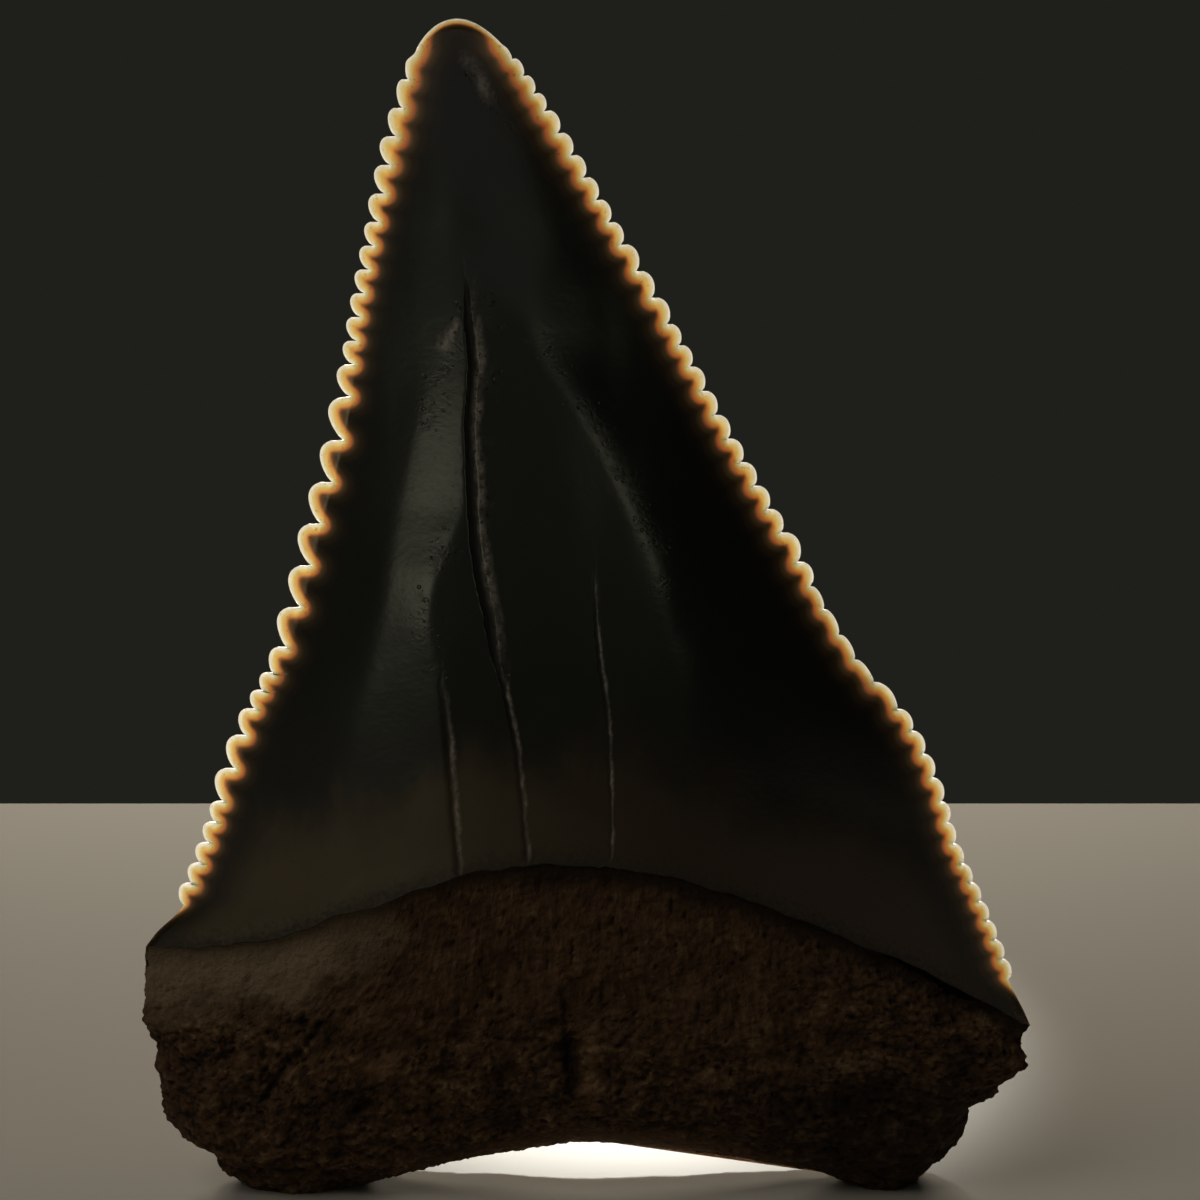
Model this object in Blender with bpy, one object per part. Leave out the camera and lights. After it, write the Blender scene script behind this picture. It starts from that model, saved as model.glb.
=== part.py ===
"""Fossil great white shark tooth: an upper tooth with a serrated crown on a two-lobed root.

The crown and the root grew as one piece, so the tooth is one closed solid. Its two faces are
grids of columns (left to right) and rows (tip to base) that meet along the cutting edges, the
root's sides and the base. It stands on a worn flat under each root lobe.

Frame: +Z up to the tip, -Y out of the flat labial face, +Y out of the swollen lingual face, and
+X to the right seen from the labial side. The origin is the middle of the tooth's box, on the
ground. All lengths below are in millimetres, and MM turns the finished mesh into metres.
"""

import math

import bmesh
import bpy
import numpy as np
from mathutils import Vector, noise

MM = 0.001
NODE_NAME = "tooth"
COLLECTION_NAME = "fossil_shark_tooth"

# Crown: greatest bulge of each face beyond the cutting edges, at the crown's foot, and how it
# grows from the share that the tip has of it
TIP_BULGE_SHARE = 0.06
LABIAL_BULGE = 1.5
LINGUAL_BULGE = 6.0
LABIAL_BULGE_GROWTH = 0.8
LINGUAL_BULGE_GROWTH = 0.65
TIP_RISE = 1.0
TIP_ROUNDING = 1.5
TIP_BEND = -0.6

# Line of the notches on each cutting edge as (x, z), from the rounded tip to the crown's foot
LEFT_EDGE = (
    (-7.2, 56.4), (-8.05, 54.9), (-9.0, 52.1), (-9.6, 49.3), (-10.4, 45.6), (-11.0, 42.3),
    (-11.6, 38.0), (-12.8, 33.5), (-13.6, 30.2), (-14.5, 27.4), (-15.9, 24.7), (-17.1, 21.3),
    (-18.8, 16.5), (-19.8, 14.5), (-21.2, 12.5),
)
RIGHT_EDGE = (
    (-4.75, 56.5), (-3.5, 55.7), (-1.9, 53.5), (-0.1, 50.4), (2.1, 46.4), (4.3, 42.5),
    (6.5, 38.2), (9.9, 32.1), (12.0, 28.4), (13.3, 26.4), (14.5, 25.1), (15.9, 22.9),
    (17.1, 19.9), (17.75, 17.7), (18.95, 15.0), (20.15, 12.0), (20.95, 9.8), (21.5, 8.5),
)

# Serrations from the tip down, as runs of (how many, width of each); below them the edge is worn
LEFT_SERRATIONS = (
    (1, 0.7), (6, 1.37), (6, 1.15), (1, 1.55), (6, 2.1), (1, 1.4), (2, 1.0), (1, 1.4),
    (2, 1.75), (5, 1.1),
)
RIGHT_SERRATIONS = (
    (1, 1.0), (4, 0.9), (6, 1.2), (3, 1.45), (2, 1.15), (4, 1.3), (3, 1.3), (1, 1.65),
    (2, 1.3), (3, 1.45), (1, 1.8), (4, 1.28), (3, 1.1), (6, 1.05),
)
SERRATION_RISE = 0.22
SERRATION_RISE_GROWTH = 1.35
SERRATION_ROUNDNESS = 0.7
WORN_STEP = 1.25

# Foot of the enamel on the labial face as (x, z), and how much higher it arches on the other face
ENAMEL_LINE = (
    (-21.2, 12.5), (-16.2, 12.9), (-11.3, 14.1), (-6.5, 15.6), (-2.7, 16.5), (1.4, 16.3),
    (5.5, 15.5), (10.3, 13.6), (15.1, 11.6), (19.0, 9.5), (21.5, 8.5),
)
LINGUAL_ENAMEL_RISE = 3.2
ENAMEL_LEDGE = 0.25
LEDGE_SHARE = 0.015
NECK_STEP = 0.25

# Root outline as (x, z): its broken sides from the crown's foot down, and its arched base,
# which is worn off level with the ground under both lobes
ROOT_LEFT = (
    (-21.2, 12.5), (-21.4, 9.3), (-21.5, 8.6), (-20.9, 7.4), (-20.8, 6.9), (-20.95, 6.2),
    (-20.7, 5.0), (-20.65, 3.7), (-20.3, 3.05), (-19.7, 2.35), (-19.0, 2.05), (-18.3, 1.6),
    (-18.1, 0.65), (-17.5, 0.1),
)
ROOT_RIGHT = (
    (21.5, 8.5), (21.15, 8.1), (21.15, 7.6), (21.45, 6.3), (20.2, 5.3), (20.05, 4.75),
    (18.8, 4.0), (18.7, 3.0), (18.4, 2.0), (17.3, 1.1), (16.7, 0.2), (16.4, 0.0),
)
BASE_LINE = (
    (-17.5, 0.1), (-16.4, -0.25), (-15.2, -1.0), (-13.2, -1.0), (-11.7, -0.45), (-9.7, 0.15),
    (-6.6, 0.95), (-3.5, 1.55), (0.0, 1.98), (3.6, 1.75), (6.8, 1.35), (9.3, 0.8),
    (11.6, 0.3), (12.8, -0.2), (14.0, -1.0), (15.2, -1.0), (15.9, -0.3), (16.4, 0.0),
)
GROUND_Z = -0.15

# Root depth down its middle, as (share of the way from the enamel to the base, y)
LABIAL_PROFILE = (
    (0.0, ENAMEL_LEDGE - LABIAL_BULGE), (0.3, -1.7), (0.6, -1.9), (0.85, -1.6), (1.0, -1.2),
)
LINGUAL_PROFILE = (
    (0.0, LINGUAL_BULGE - NECK_STEP), (0.14, 5.6), (0.3, 6.3), (0.5, 7.2), (0.7, 7.1),
    (1.0, 5.8),
)
BASE_RIDGE_LEFT_Y = 1.6
BASE_RIDGE_RIGHT_Y = 2.3
BASE_BLUNTNESS = 9.0
BASE_ROW_CROWDING = 0.35
SIDE_BLUNTNESS_LABIAL = 4.0
SIDE_BLUNTNESS_LINGUAL = 2.3
BLEND_SHARE_LABIAL = 0.35
BLEND_SHARE_LINGUAL = 0.55

# Surface relief: lumps of the porous root, the nerve hole at its back, the long labial crack
LUMP_HEIGHT = 0.45
LUMP_SIZE = 2.8
NERVE_HOLE = (0.6, 11.0)
NERVE_HOLE_RADIUS = 1.3
NERVE_HOLE_DEPTH = 0.9
CRACK_PATH = ((0.0, 0.40), (0.2, 0.365), (0.5, 0.356), (0.7, 0.386), (1.0, 0.437))
CRACK_START = 0.22
CRACK_HALF_WIDTH = 0.4
CRACK_DEPTH = 0.25

# Mesh: rows and columns of each face, and mesh steps that the cutting edges have to a row
CROWN_ROWS = 46
ROOT_ROWS = 20
EDGE_STEPS = 4
COLUMNS_LEFT = 10
COLUMNS_RIGHT = 14
EDGE_CROWDING = 0.6
MERGE_DISTANCE = 0.001
SMOOTH_ANGLE = math.radians(40.0)

LABIAL = -1
LINGUAL = 1

FOSSIL_COLOR = (0.042, 0.037, 0.028, 1.0)
FOSSIL_ROUGHNESS = 0.38


def rounded(points, steps=8):
    """Dense polyline through the points, rounded by a Catmull-Rom spline."""
    knots = [np.array(point, dtype=float) for point in points]
    knots = [2 * knots[0] - knots[1], *knots, 2 * knots[-1] - knots[-2]]
    dense = []
    for before, start, end, after in zip(knots, knots[1:], knots[2:], knots[3:]):
        for u in np.arange(steps) / steps:
            bend = 2 * before - 5 * start + 4 * end - after
            twist = 3 * start - before - 3 * end + after
            dense.append(start + 0.5 * ((end - before) * u + bend * u**2 + twist * u**3))
    dense.append(knots[-2])
    return np.array(dense)


def lengths_along(line):
    """Distance from the line's start to each of its points."""
    steps = np.linalg.norm(np.diff(line, axis=0), axis=1)
    return np.concatenate(([0.0], np.cumsum(steps)))


def walk(line, distances):
    """Points at the given distances along a line."""
    lengths = lengths_along(line)
    return np.stack([np.interp(distances, lengths, line[:, axis]) for axis in (0, 1)], axis=-1)


def value_on(line, place):
    """Second coordinate of a dense line where its first one is at a place."""
    return float(np.interp(place, line[:, 0], line[:, 1]))


def cutting_edge(points, serrations, outward):
    """Notch-line points and serrated points of one cutting edge, one of each to an edge row.

    The rows are spread so that one of them falls in every notch between two serrations.
    """
    line = rounded(points)
    widths = [width for count, width in serrations for _ in range(count)]
    rises = [SERRATION_RISE * width**SERRATION_RISE_GROWTH for width in widths]
    worn_length = lengths_along(line)[-1] - sum(widths)
    worn_count = max(1, round(worn_length / WORN_STEP))
    widths += [worn_length / worn_count] * worn_count
    rises += [0.0] * (worn_count + 1)
    notches = np.arange(len(widths) + 1)
    edge_rows = CROWN_ROWS * EDGE_STEPS
    phase = np.interp(
        np.arange(edge_rows + 1), np.round(np.linspace(0, edge_rows, len(notches))), notches
    )
    places = walk(line, np.interp(phase, notches, np.concatenate(([0.0], np.cumsum(widths)))))
    along = np.gradient(places, axis=0)
    across = outward * np.stack([along[:, 1], -along[:, 0]], axis=1)
    across /= np.linalg.norm(across, axis=1)[:, None]
    serration = np.floor(phase).astype(int)
    swell = np.abs(np.sin(math.pi * (phase - serration))) ** SERRATION_ROUNDNESS
    return places, places + across * (np.array(rises)[serration] * swell)[:, None]


LEFT_LINE, LEFT_SERRATED = cutting_edge(LEFT_EDGE, LEFT_SERRATIONS, 1)
RIGHT_LINE, RIGHT_SERRATED = cutting_edge(RIGHT_EDGE, RIGHT_SERRATIONS, -1)
LEFT_SIDE = np.array(ROOT_LEFT)
RIGHT_SIDE = np.array(ROOT_RIGHT)
ENAMEL_CURVE = rounded(ENAMEL_LINE)
BASE_CURVE = rounded(BASE_LINE)
LABIAL_CURVE = rounded(LABIAL_PROFILE)
LINGUAL_CURVE = rounded(LINGUAL_PROFILE)
LAST_COLUMN = COLUMNS_LEFT + COLUMNS_RIGHT + 2
EDGE_FALL = (LEFT_LINE[0] + RIGHT_LINE[0] - LEFT_LINE - RIGHT_LINE)[:, 1] / 2


def chord(left, right, across):
    """Point at a share of the way from the left side to the right side."""
    return left + across * (right - left)


def off_axis(across):
    """Place between the sides, from -1 at the left through 0 in the middle to 1."""
    return 2.0 * across - 1.0


def enamel_arch(across, side):
    """Height of the enamel's foot above the straight line between its two corners."""
    place = chord(LEFT_LINE[-1], RIGHT_LINE[-1], across)
    arch = value_on(ENAMEL_CURVE, place[0]) - place[1]
    if side == LINGUAL:
        arch += LINGUAL_ENAMEL_RISE * (1.0 - off_axis(across) ** 2)
    return arch


def base_arch(across):
    """Height of the root's base above the straight line between its two corners."""
    place = chord(LEFT_SIDE[-1], RIGHT_SIDE[-1], across)
    return value_on(BASE_CURVE, place[0]) - place[1]


def crack_across(share):
    """Where the long crack runs at a share of the crown's height, as a share of the width."""
    shares, places = zip(*CRACK_PATH)
    return float(np.interp(share, shares, places))


def column_place(column, share, width):
    """Share of the width at which a column runs. Three columns follow the crack and its lips."""
    crack = crack_across(share)
    lip = CRACK_HALF_WIDTH / width
    if column == COLUMNS_LEFT + 1:
        return crack
    if column <= COLUMNS_LEFT:
        part, span = column / COLUMNS_LEFT, crack - lip
    else:
        part, span = (LAST_COLUMN - column) / COLUMNS_RIGHT, 1.0 - crack - lip
    crowded = 1.0 - math.cos(part * math.pi / 2)
    place = span * (EDGE_CROWDING * crowded + (1.0 - EDGE_CROWDING) * part)
    return place if column <= COLUMNS_LEFT else 1.0 - place


def crown_depth(across, fallen, side):
    """How far a crown face stands from the cutting edges, at a distance below the tip."""
    off = abs(off_axis(across))
    grown = TIP_BULGE_SHARE + (1.0 - TIP_BULGE_SHARE) * fallen / EDGE_FALL[-1]
    rounding = math.sqrt(1.0 - (1.0 - min(1.0, fallen / TIP_ROUNDING)) ** 2)
    if side == LABIAL:
        return -LABIAL_BULGE * grown**LABIAL_BULGE_GROWTH * (1.0 - off**3) * rounding
    return LINGUAL_BULGE * grown**LINGUAL_BULGE_GROWTH * (1.0 - off**2) ** 1.2 * rounding


def crown_point(column, row, side):
    """Point of the crown on one face, row 0 being the rounded tip."""
    edge_row = round(row * EDGE_STEPS)
    fallen = float(EDGE_FALL[edge_row])
    share = fallen / EDGE_FALL[-1]
    edge_y = TIP_BEND * (1.0 - share) ** 2
    if column in (0, LAST_COLUMN):
        x, z = LEFT_SERRATED[edge_row] if column == 0 else RIGHT_SERRATED[edge_row]
        return x, edge_y, z
    left, right = LEFT_LINE[edge_row], RIGHT_LINE[edge_row]
    width = float(np.linalg.norm(right - left))
    across = column_place(column, share, width)
    x, z = chord(left, right, across)
    tip_arch = TIP_RISE * math.sqrt(1.0 - off_axis(across) ** 2) * (1.0 - share) ** 12
    z += tip_arch + enamel_arch(across, side) * share**2.5
    y = edge_y + crown_depth(across, fallen, side)
    if side == LABIAL and column == COLUMNS_LEFT + 1 and share > CRACK_START:
        y += CRACK_DEPTH
    return x, y, z


def root_lump(x, z, side):
    """Height of the root's lumps at a place on one of its faces."""
    place = Vector((x, side * LUMP_SIZE * 3, z)) / LUMP_SIZE
    return LUMP_HEIGHT * noise.fractal(place, 1.0, 2.0, 3)


def root_share(row):
    """Share of the way from the enamel to the base at a row. The base's rows are crowded."""
    if row <= 1:
        return LEDGE_SHARE * row
    part = (row - 1) / (ROOT_ROWS - 1)
    part += BASE_ROW_CROWDING * part * (1.0 - part)
    return LEDGE_SHARE + (1.0 - LEDGE_SHARE) * part


def root_depth(across, down, side):
    """How far a root face stands from the root's middle plane, and how free it is to swell."""
    off = abs(off_axis(across))
    if side == LABIAL:
        middle = value_on(LABIAL_CURVE, down)
        sharp, blunt = 1.0 - off**3, (1.0 - off**SIDE_BLUNTNESS_LABIAL) ** 0.5
        blend = min(1.0, down / BLEND_SHARE_LABIAL)
    else:
        middle = value_on(LINGUAL_CURVE, down)
        sharp, blunt = (1.0 - off**2) ** 1.2, (1.0 - off**SIDE_BLUNTNESS_LINGUAL) ** 0.5
        blend = min(1.0, down / BLEND_SHARE_LINGUAL)
    swell = (sharp + (blunt - sharp) * blend) * math.sqrt(1.0 - down**BASE_BLUNTNESS)
    return (middle - root_middle(across, down)) * swell, swell * blend


def root_middle(across, down):
    """Surface between the root's two faces, which runs back from the crown's foot to the base."""
    ridge = chord(BASE_RIDGE_LEFT_Y, BASE_RIDGE_RIGHT_Y, across)
    return ridge * (3.0 - 2.0 * down) * down**2


def root_point(column, row, side):
    """Point of the root on one face. Row 0 is the foot of the enamel, the last one the base."""
    down = root_share(row)
    left = walk(LEFT_SIDE, down * lengths_along(LEFT_SIDE)[-1])
    right = walk(RIGHT_SIDE, down * lengths_along(RIGHT_SIDE)[-1])
    if column in (0, LAST_COLUMN):
        x, z = left if column == 0 else right
        return x, root_middle(column / LAST_COLUMN, down), max(z, GROUND_Z)
    across = column_place(column, 1.0, float(np.linalg.norm(right - left)))
    x, z = chord(left, right, across)
    z += (1.0 - down) * enamel_arch(across, side) + down * base_arch(across)
    depth, freedom = root_depth(across, down, side)
    y = root_middle(across, down) + depth + side * root_lump(x, z, side) * freedom
    if side == LINGUAL:
        reach = math.hypot(x - NERVE_HOLE[0], z - NERVE_HOLE[1]) / NERVE_HOLE_RADIUS
        y -= NERVE_HOLE_DEPTH * math.exp(-(reach**2))
    return x, y, max(z, GROUND_Z)


def tooth_point(column, row, side):
    """Point of the tooth at a column and a row of one face."""
    if row <= CROWN_ROWS:
        return crown_point(column, row, side)
    return root_point(column, row - CROWN_ROWS, side)


def add_face_grids(mesh):
    """Add the two faces as flat grids. A point holds its column, its row and its side.

    The cutting edges are split finer for the serrations, and the faces along both sides of the
    grid are fanned out from their middles, so that no triangle lies flat between two sides.
    """
    rows = CROWN_ROWS + ROOT_ROWS
    bmesh.ops.create_grid(mesh, x_segments=LAST_COLUMN, y_segments=rows, size=0.5)
    for vert in mesh.verts:
        column = round((vert.co.x + 0.5) * LAST_COLUMN)
        row = round((0.5 - vert.co.y) * rows)
        vert.co = (column, row, LABIAL)
    sides = [edge for edge in mesh.edges if edge.verts[0].co.x == edge.verts[1].co.x]
    cutting_edges = [
        edge for edge in sides
        if edge.is_boundary and max(vert.co.y for vert in edge.verts) <= CROWN_ROWS
    ]
    bmesh.ops.bisect_edges(mesh, edges=cutting_edges, cuts=EDGE_STEPS - 1)
    outer_faces = [
        face for face in mesh.faces if any(vert.co.x in (0, LAST_COLUMN) for vert in face.verts)
    ]
    for face, center in [(face, face.calc_center_bounds()) for face in outer_faces]:
        middle = bmesh.ops.poke(mesh, faces=[face])["verts"][0]
        middle.co = center
    copy = bmesh.ops.duplicate(mesh, geom=mesh.verts[:] + mesh.edges[:] + mesh.faces[:])
    for item in copy["geom"]:
        if isinstance(item, bmesh.types.BMVert):
            item.co.z = LINGUAL


def build_tooth_mesh():
    """The whole tooth as one closed mesh, in millimetres."""
    mesh = bmesh.new()
    add_face_grids(mesh)
    for vert in mesh.verts:
        vert.co = tooth_point(vert.co.x, vert.co.y, round(vert.co.z))
    bmesh.ops.remove_doubles(mesh, verts=mesh.verts, dist=MERGE_DISTANCE)
    bmesh.ops.triangulate(mesh, faces=mesh.faces)
    bmesh.ops.recalc_face_normals(mesh, faces=mesh.faces)
    return mesh


def center_on_ground(mesh):
    """Put the middle of the tooth's box over the origin and its worn flats on the ground."""
    places = np.array([vert.co for vert in mesh.verts])
    middle = 0.5 * (places.min(axis=0) + places.max(axis=0))
    middle[2] = GROUND_Z
    bmesh.ops.translate(mesh, verts=mesh.verts, vec=-Vector(middle))


def fossil_material():
    """Dark mineralised enamel and dentine, with a low gloss."""
    material = bpy.data.materials.new("fossil_enamel_and_dentine")
    material.use_nodes = True
    shader = material.node_tree.nodes["Principled BSDF"]
    shader.inputs["Base Color"].default_value = FOSSIL_COLOR
    shader.inputs["Roughness"].default_value = FOSSIL_ROUGHNESS
    shader.inputs["Metallic"].default_value = 0.0
    return material


def add_tooth(collection):
    """The tooth as a named object."""
    mesh = build_tooth_mesh()
    center_on_ground(mesh)
    bmesh.ops.scale(mesh, verts=mesh.verts, vec=(MM, MM, MM))
    data = bpy.data.meshes.new(NODE_NAME)
    mesh.to_mesh(data)
    mesh.free()
    data.shade_smooth()
    data.set_sharp_from_angle(angle=SMOOTH_ANGLE)
    data.materials.append(fossil_material())
    collection.objects.link(bpy.data.objects.new(NODE_NAME, data))


def main():
    """Clear the scene and build the tooth in its own collection."""
    for item in list(bpy.data.objects):
        bpy.data.objects.remove(item, do_unlink=True)
    collection = bpy.data.collections.new(COLLECTION_NAME)
    bpy.context.scene.collection.children.link(collection)
    add_tooth(collection)


main()
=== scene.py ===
"""Fossil great white shark tooth, dressed for its photograph.

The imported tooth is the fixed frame. Its looks are two pieces that stand for it: the enamel crown
with its serrated cutting edges, and the porous root under it. Both are pillows: a front and a back
sheet of columns and rows, welded along their rims, then carved in relief.

Frame: +Z up to the tip, -Y out of the flat labial face, +X to the right seen from that face.
Shapes are worked out in millimetres and turned into metres when a mesh is finished.
"""

import logging
import math
from dataclasses import dataclass, field
from enum import Enum
from functools import partial
from typing import Any, Callable, Mapping, Sequence, Union

import bmesh
import bpy
import numpy as np
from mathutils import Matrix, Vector, kdtree, noise


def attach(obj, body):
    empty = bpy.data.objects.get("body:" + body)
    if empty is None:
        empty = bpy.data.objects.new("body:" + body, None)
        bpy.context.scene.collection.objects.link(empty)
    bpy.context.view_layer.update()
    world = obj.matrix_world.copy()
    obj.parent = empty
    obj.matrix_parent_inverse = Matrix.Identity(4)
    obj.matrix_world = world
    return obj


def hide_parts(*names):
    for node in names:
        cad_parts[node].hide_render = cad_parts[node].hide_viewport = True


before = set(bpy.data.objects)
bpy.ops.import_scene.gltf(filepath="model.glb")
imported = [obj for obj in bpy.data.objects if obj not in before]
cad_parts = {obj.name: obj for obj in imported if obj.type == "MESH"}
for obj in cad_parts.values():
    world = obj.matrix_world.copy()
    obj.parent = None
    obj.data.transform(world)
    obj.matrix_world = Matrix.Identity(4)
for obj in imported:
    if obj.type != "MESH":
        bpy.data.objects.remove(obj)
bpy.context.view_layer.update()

log = logging.getLogger("fossil_tooth")

MM = 0.001
NODE = "tooth"
BODY = "root"
WELD_MM = 0.0004

# Where the drawn outline stands in the part's frame: the plane of the cutting edges lies in front
# of the box's middle, and the worn flats of the root are a little above the drawing's zero
EDGE_PLANE_Y = -2.69
GROUND_DROP = 0.15

Array = np.ndarray
Points = Sequence[tuple[float, float]]
Tree = bpy.types.NodeTree
Source = Union[bpy.types.Node, bpy.types.NodeSocket]


class Face(Enum):
    """The two faces of a tooth, and the way each one looks along Y."""

    LABIAL = -1
    LINGUAL = 1


def rounded(points: Points, steps: int = 8) -> Array:
    """Dense polyline through points, rounded by a Catmull-Rom spline.

    Args:
        points: the outline's own points.
        steps: how many stretches each span is cut into.

    Returns:
        The polyline, one point to a row.
    """
    knots = [np.array(point, dtype=float) for point in points]
    knots = [2 * knots[0] - knots[1], *knots, 2 * knots[-1] - knots[-2]]
    dense = []
    for before, start, end, after in zip(knots, knots[1:], knots[2:], knots[3:]):
        for u in np.arange(steps) / steps:
            bend = 2 * before - 5 * start + 4 * end - after
            twist = 3 * start - before - 3 * end + after
            dense.append(start + 0.5 * ((end - before) * u + bend * u**2 + twist * u**3))
    dense.append(knots[-2])
    return np.array(dense)


def lengths_along(line: Array) -> Array:
    """Distance from a line's start to each of its points."""
    steps = np.linalg.norm(np.diff(line, axis=0), axis=1)
    return np.concatenate(([0.0], np.cumsum(steps)))


def walk(line: Array, distances: Array) -> Array:
    """Points at the given distances along a line."""
    lengths = lengths_along(line)
    return np.stack([np.interp(distances, lengths, line[:, axis]) for axis in (0, 1)], axis=-1)


def value_on(line: Array, places: Array) -> Array:
    """Second coordinate of a line where its first one is at the given places."""
    return np.interp(places, line[:, 0], line[:, 1])


def ease(low: float, high: float, values: Array) -> Array:
    """Smooth step from 0 at low to 1 at high."""
    share = np.clip((values - low) / (high - low), 0.0, 1.0)
    return share * share * (3.0 - 2.0 * share)


def bell(distances: Array, width: float) -> Array:
    """Bell curve of height 1 and the given half width."""
    return np.exp(-((distances / width) ** 2))


def evenly(curve: Callable[[Array], Array], length: float, depth: float, count: int) -> Array:
    """Shares from 0 to 1 that step evenly along a profile, however steeply it ends.

    Args:
        curve: the profile's depth, from 0 to 1, at a share of its length.
        length: the profile's length in mm.
        depth: the profile's greatest depth in mm.
        count: how many steps.

    Returns:
        count + 1 shares.
    """
    fine = 1.0 - (1.0 - np.linspace(0.0, 1.0, 4001)) ** 2
    profile = np.stack([fine * length, curve(fine) * depth], axis=1)
    lengths = lengths_along(profile)
    return np.interp(np.linspace(0.0, lengths[-1], count + 1), lengths, fine)


def beside(places: Array, path: Points) -> tuple[Array, Array]:
    """How far places lie from a path drawn on a face.

    Args:
        places: (x, z) of each place.
        path: (x, z) of the path's own points, from its upper end down.

    Returns:
        The distance of each place, positive to the right of the path, and the share of the path
        at which it is nearest.
    """
    knots = np.array(path, dtype=float)
    lengths = lengths_along(knots)
    nearest = np.full(len(places), np.inf)
    signed = np.zeros(len(places))
    shares = np.zeros(len(places))
    for start, end, first, last in zip(knots, knots[1:], lengths, lengths[1:]):
        along = end - start
        share = np.clip((places - start) @ along / (along @ along), 0.0, 1.0)
        gap = places - (start + share[:, None] * along)
        distance = np.linalg.norm(gap, axis=1)
        closer = distance < nearest
        right = np.sign(gap[:, 1] * along[0] - gap[:, 0] * along[1])
        nearest = np.where(closer, distance, nearest)
        signed = np.where(closer, distance * right, signed)
        shares = np.where(closer, (first + share * (last - first)) / lengths[-1], shares)
    return signed, shares


@dataclass(frozen=True)
class Grain:
    """Fractal noise: how high it rises, and the size of its lumps along X, Y and Z, in mm.

    The seed is a shift that gives each use its own pattern.
    """

    height: float
    size: tuple[float, float, float]
    seed: float
    octaves: int = 3

    def at(self, places: Array) -> Array:
        """The noise at each place, from about -height to height."""
        scaled = places / np.array(self.size) + self.seed
        values = [noise.fractal(Vector(place), 1.0, 2.0, self.octaves) for place in scaled]
        return self.height * np.array(values)


@dataclass(frozen=True)
class Holes:
    """Pores or slits, at most one to a cell: the size of a cell and the depth of a hole, in mm.

    The kept share of the cells holds a hole, and full_share of those holes are fully deep. Rim
    and floor are how far a hole's slope starts and ends from its middle, in cells.
    """

    size: tuple[float, float, float]
    depth: float
    kept: float
    seed: float
    rim: float = 0.4
    floor: float = 0.14
    full_share: float = 0.6

    def at(self, places: Array) -> Array:
        """How deep each place is in a hole, in mm."""
        scaled = places / np.array(self.size) + self.seed
        found = [noise.voronoi(Vector(place)) for place in scaled]
        distances = np.array([near[0] for near, _ in found])
        numbers = np.array([noise.cell(centres[0] * 7.3) for _, centres in found])
        chosen = ease(1.0 - self.kept, 1.0 - self.full_share * self.kept, numbers)
        return self.depth * ease(self.rim, self.floor, distances) * chosen


@dataclass(frozen=True)
class CuttingEdge:
    """One serrated cutting edge of the crown.

    Its line runs through the notches, from the rounded tip to the crown's foot. The serrations
    are runs of (how many, width of each), and below them the edge is worn smooth. Worn runs are
    (first serration, last one, share of the height that is left). The first serrations rise less,
    and the tip itself has none.
    """

    notch_points: Points
    serrations: Sequence[tuple[int, float]]
    outward: int
    rise: float = 0.22
    rise_growth: float = 1.35
    tip_rise_share: float = 0.3
    notch_cut: float = 0.34
    roundness: float = 0.52
    roundness_growth: float = 0.2
    plain_width: float = 1.2
    worn_runs: Sequence[tuple[int, int, float]] = ()
    lean: float = 0.75
    worn_step: float = 1.25
    blunt_share: float = 0.2

    def widths_and_rises(self) -> tuple[Array, Array]:
        """Width and rise of each serration, and of the worn steps below the last of them."""
        widths = [width for count, width in self.serrations for _ in range(count)]
        sawn = np.array(widths)
        rises = self.notch_cut + self.rise * sawn**self.rise_growth
        first_share = self.tip_rise_share
        rises *= first_share + (1.0 - first_share) * ease(-1.0, 3.0, np.arange(len(widths)))
        for first, last, share in self.worn_runs:
            rises[first:last + 1] *= share
        worn_length = lengths_along(rounded(self.notch_points))[-1] - sum(widths)
        worn_count = max(1, round(worn_length / self.worn_step))
        worn = np.full(worn_count, worn_length / worn_count)
        return np.concatenate([sawn, worn]), np.concatenate([rises, np.zeros(worn_count + 1)])

    def rows(self, count: int) -> tuple[Array, Array]:
        """Points of the notch line and of the serrated edge, with a row in every notch.

        Args:
            count: how many rows the crown has.

        Returns:
            The notch line's points and the serrated edge's points, count + 1 of each.
        """
        widths, rises = self.widths_and_rises()
        notches = np.arange(len(widths) + 1)
        snapped = np.round(np.linspace(0, count, len(notches)))
        phase = np.interp(np.arange(count + 1), snapped, notches)
        phase[1] *= self.blunt_share
        distances = np.concatenate(([0.0], np.cumsum(widths)))
        places = walk(rounded(self.notch_points), np.interp(phase, notches, distances))
        along = np.gradient(places, axis=0)
        across = self.outward * np.stack([-along[:, 1], along[:, 0]], axis=1)
        across /= np.linalg.norm(across, axis=1)[:, None]
        serration = np.floor(phase).astype(int)
        width = np.append(widths, widths[-1])[serration]
        wider = np.maximum(0.0, width - self.plain_width)
        roundness = self.roundness + self.roundness_growth * wider
        swell = np.sin(math.pi * (phase - serration) ** self.lean) ** roundness
        swell *= ease(0.0, 0.5, phase)
        last = sum(run for run, _ in self.serrations)
        cut = self.notch_cut * ease(0.0, 3.0, phase) * ease(last + 1.5, last, phase)
        places -= across * cut[:, None]
        return places, places + across * (rises[serration] * swell)[:, None]


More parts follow.
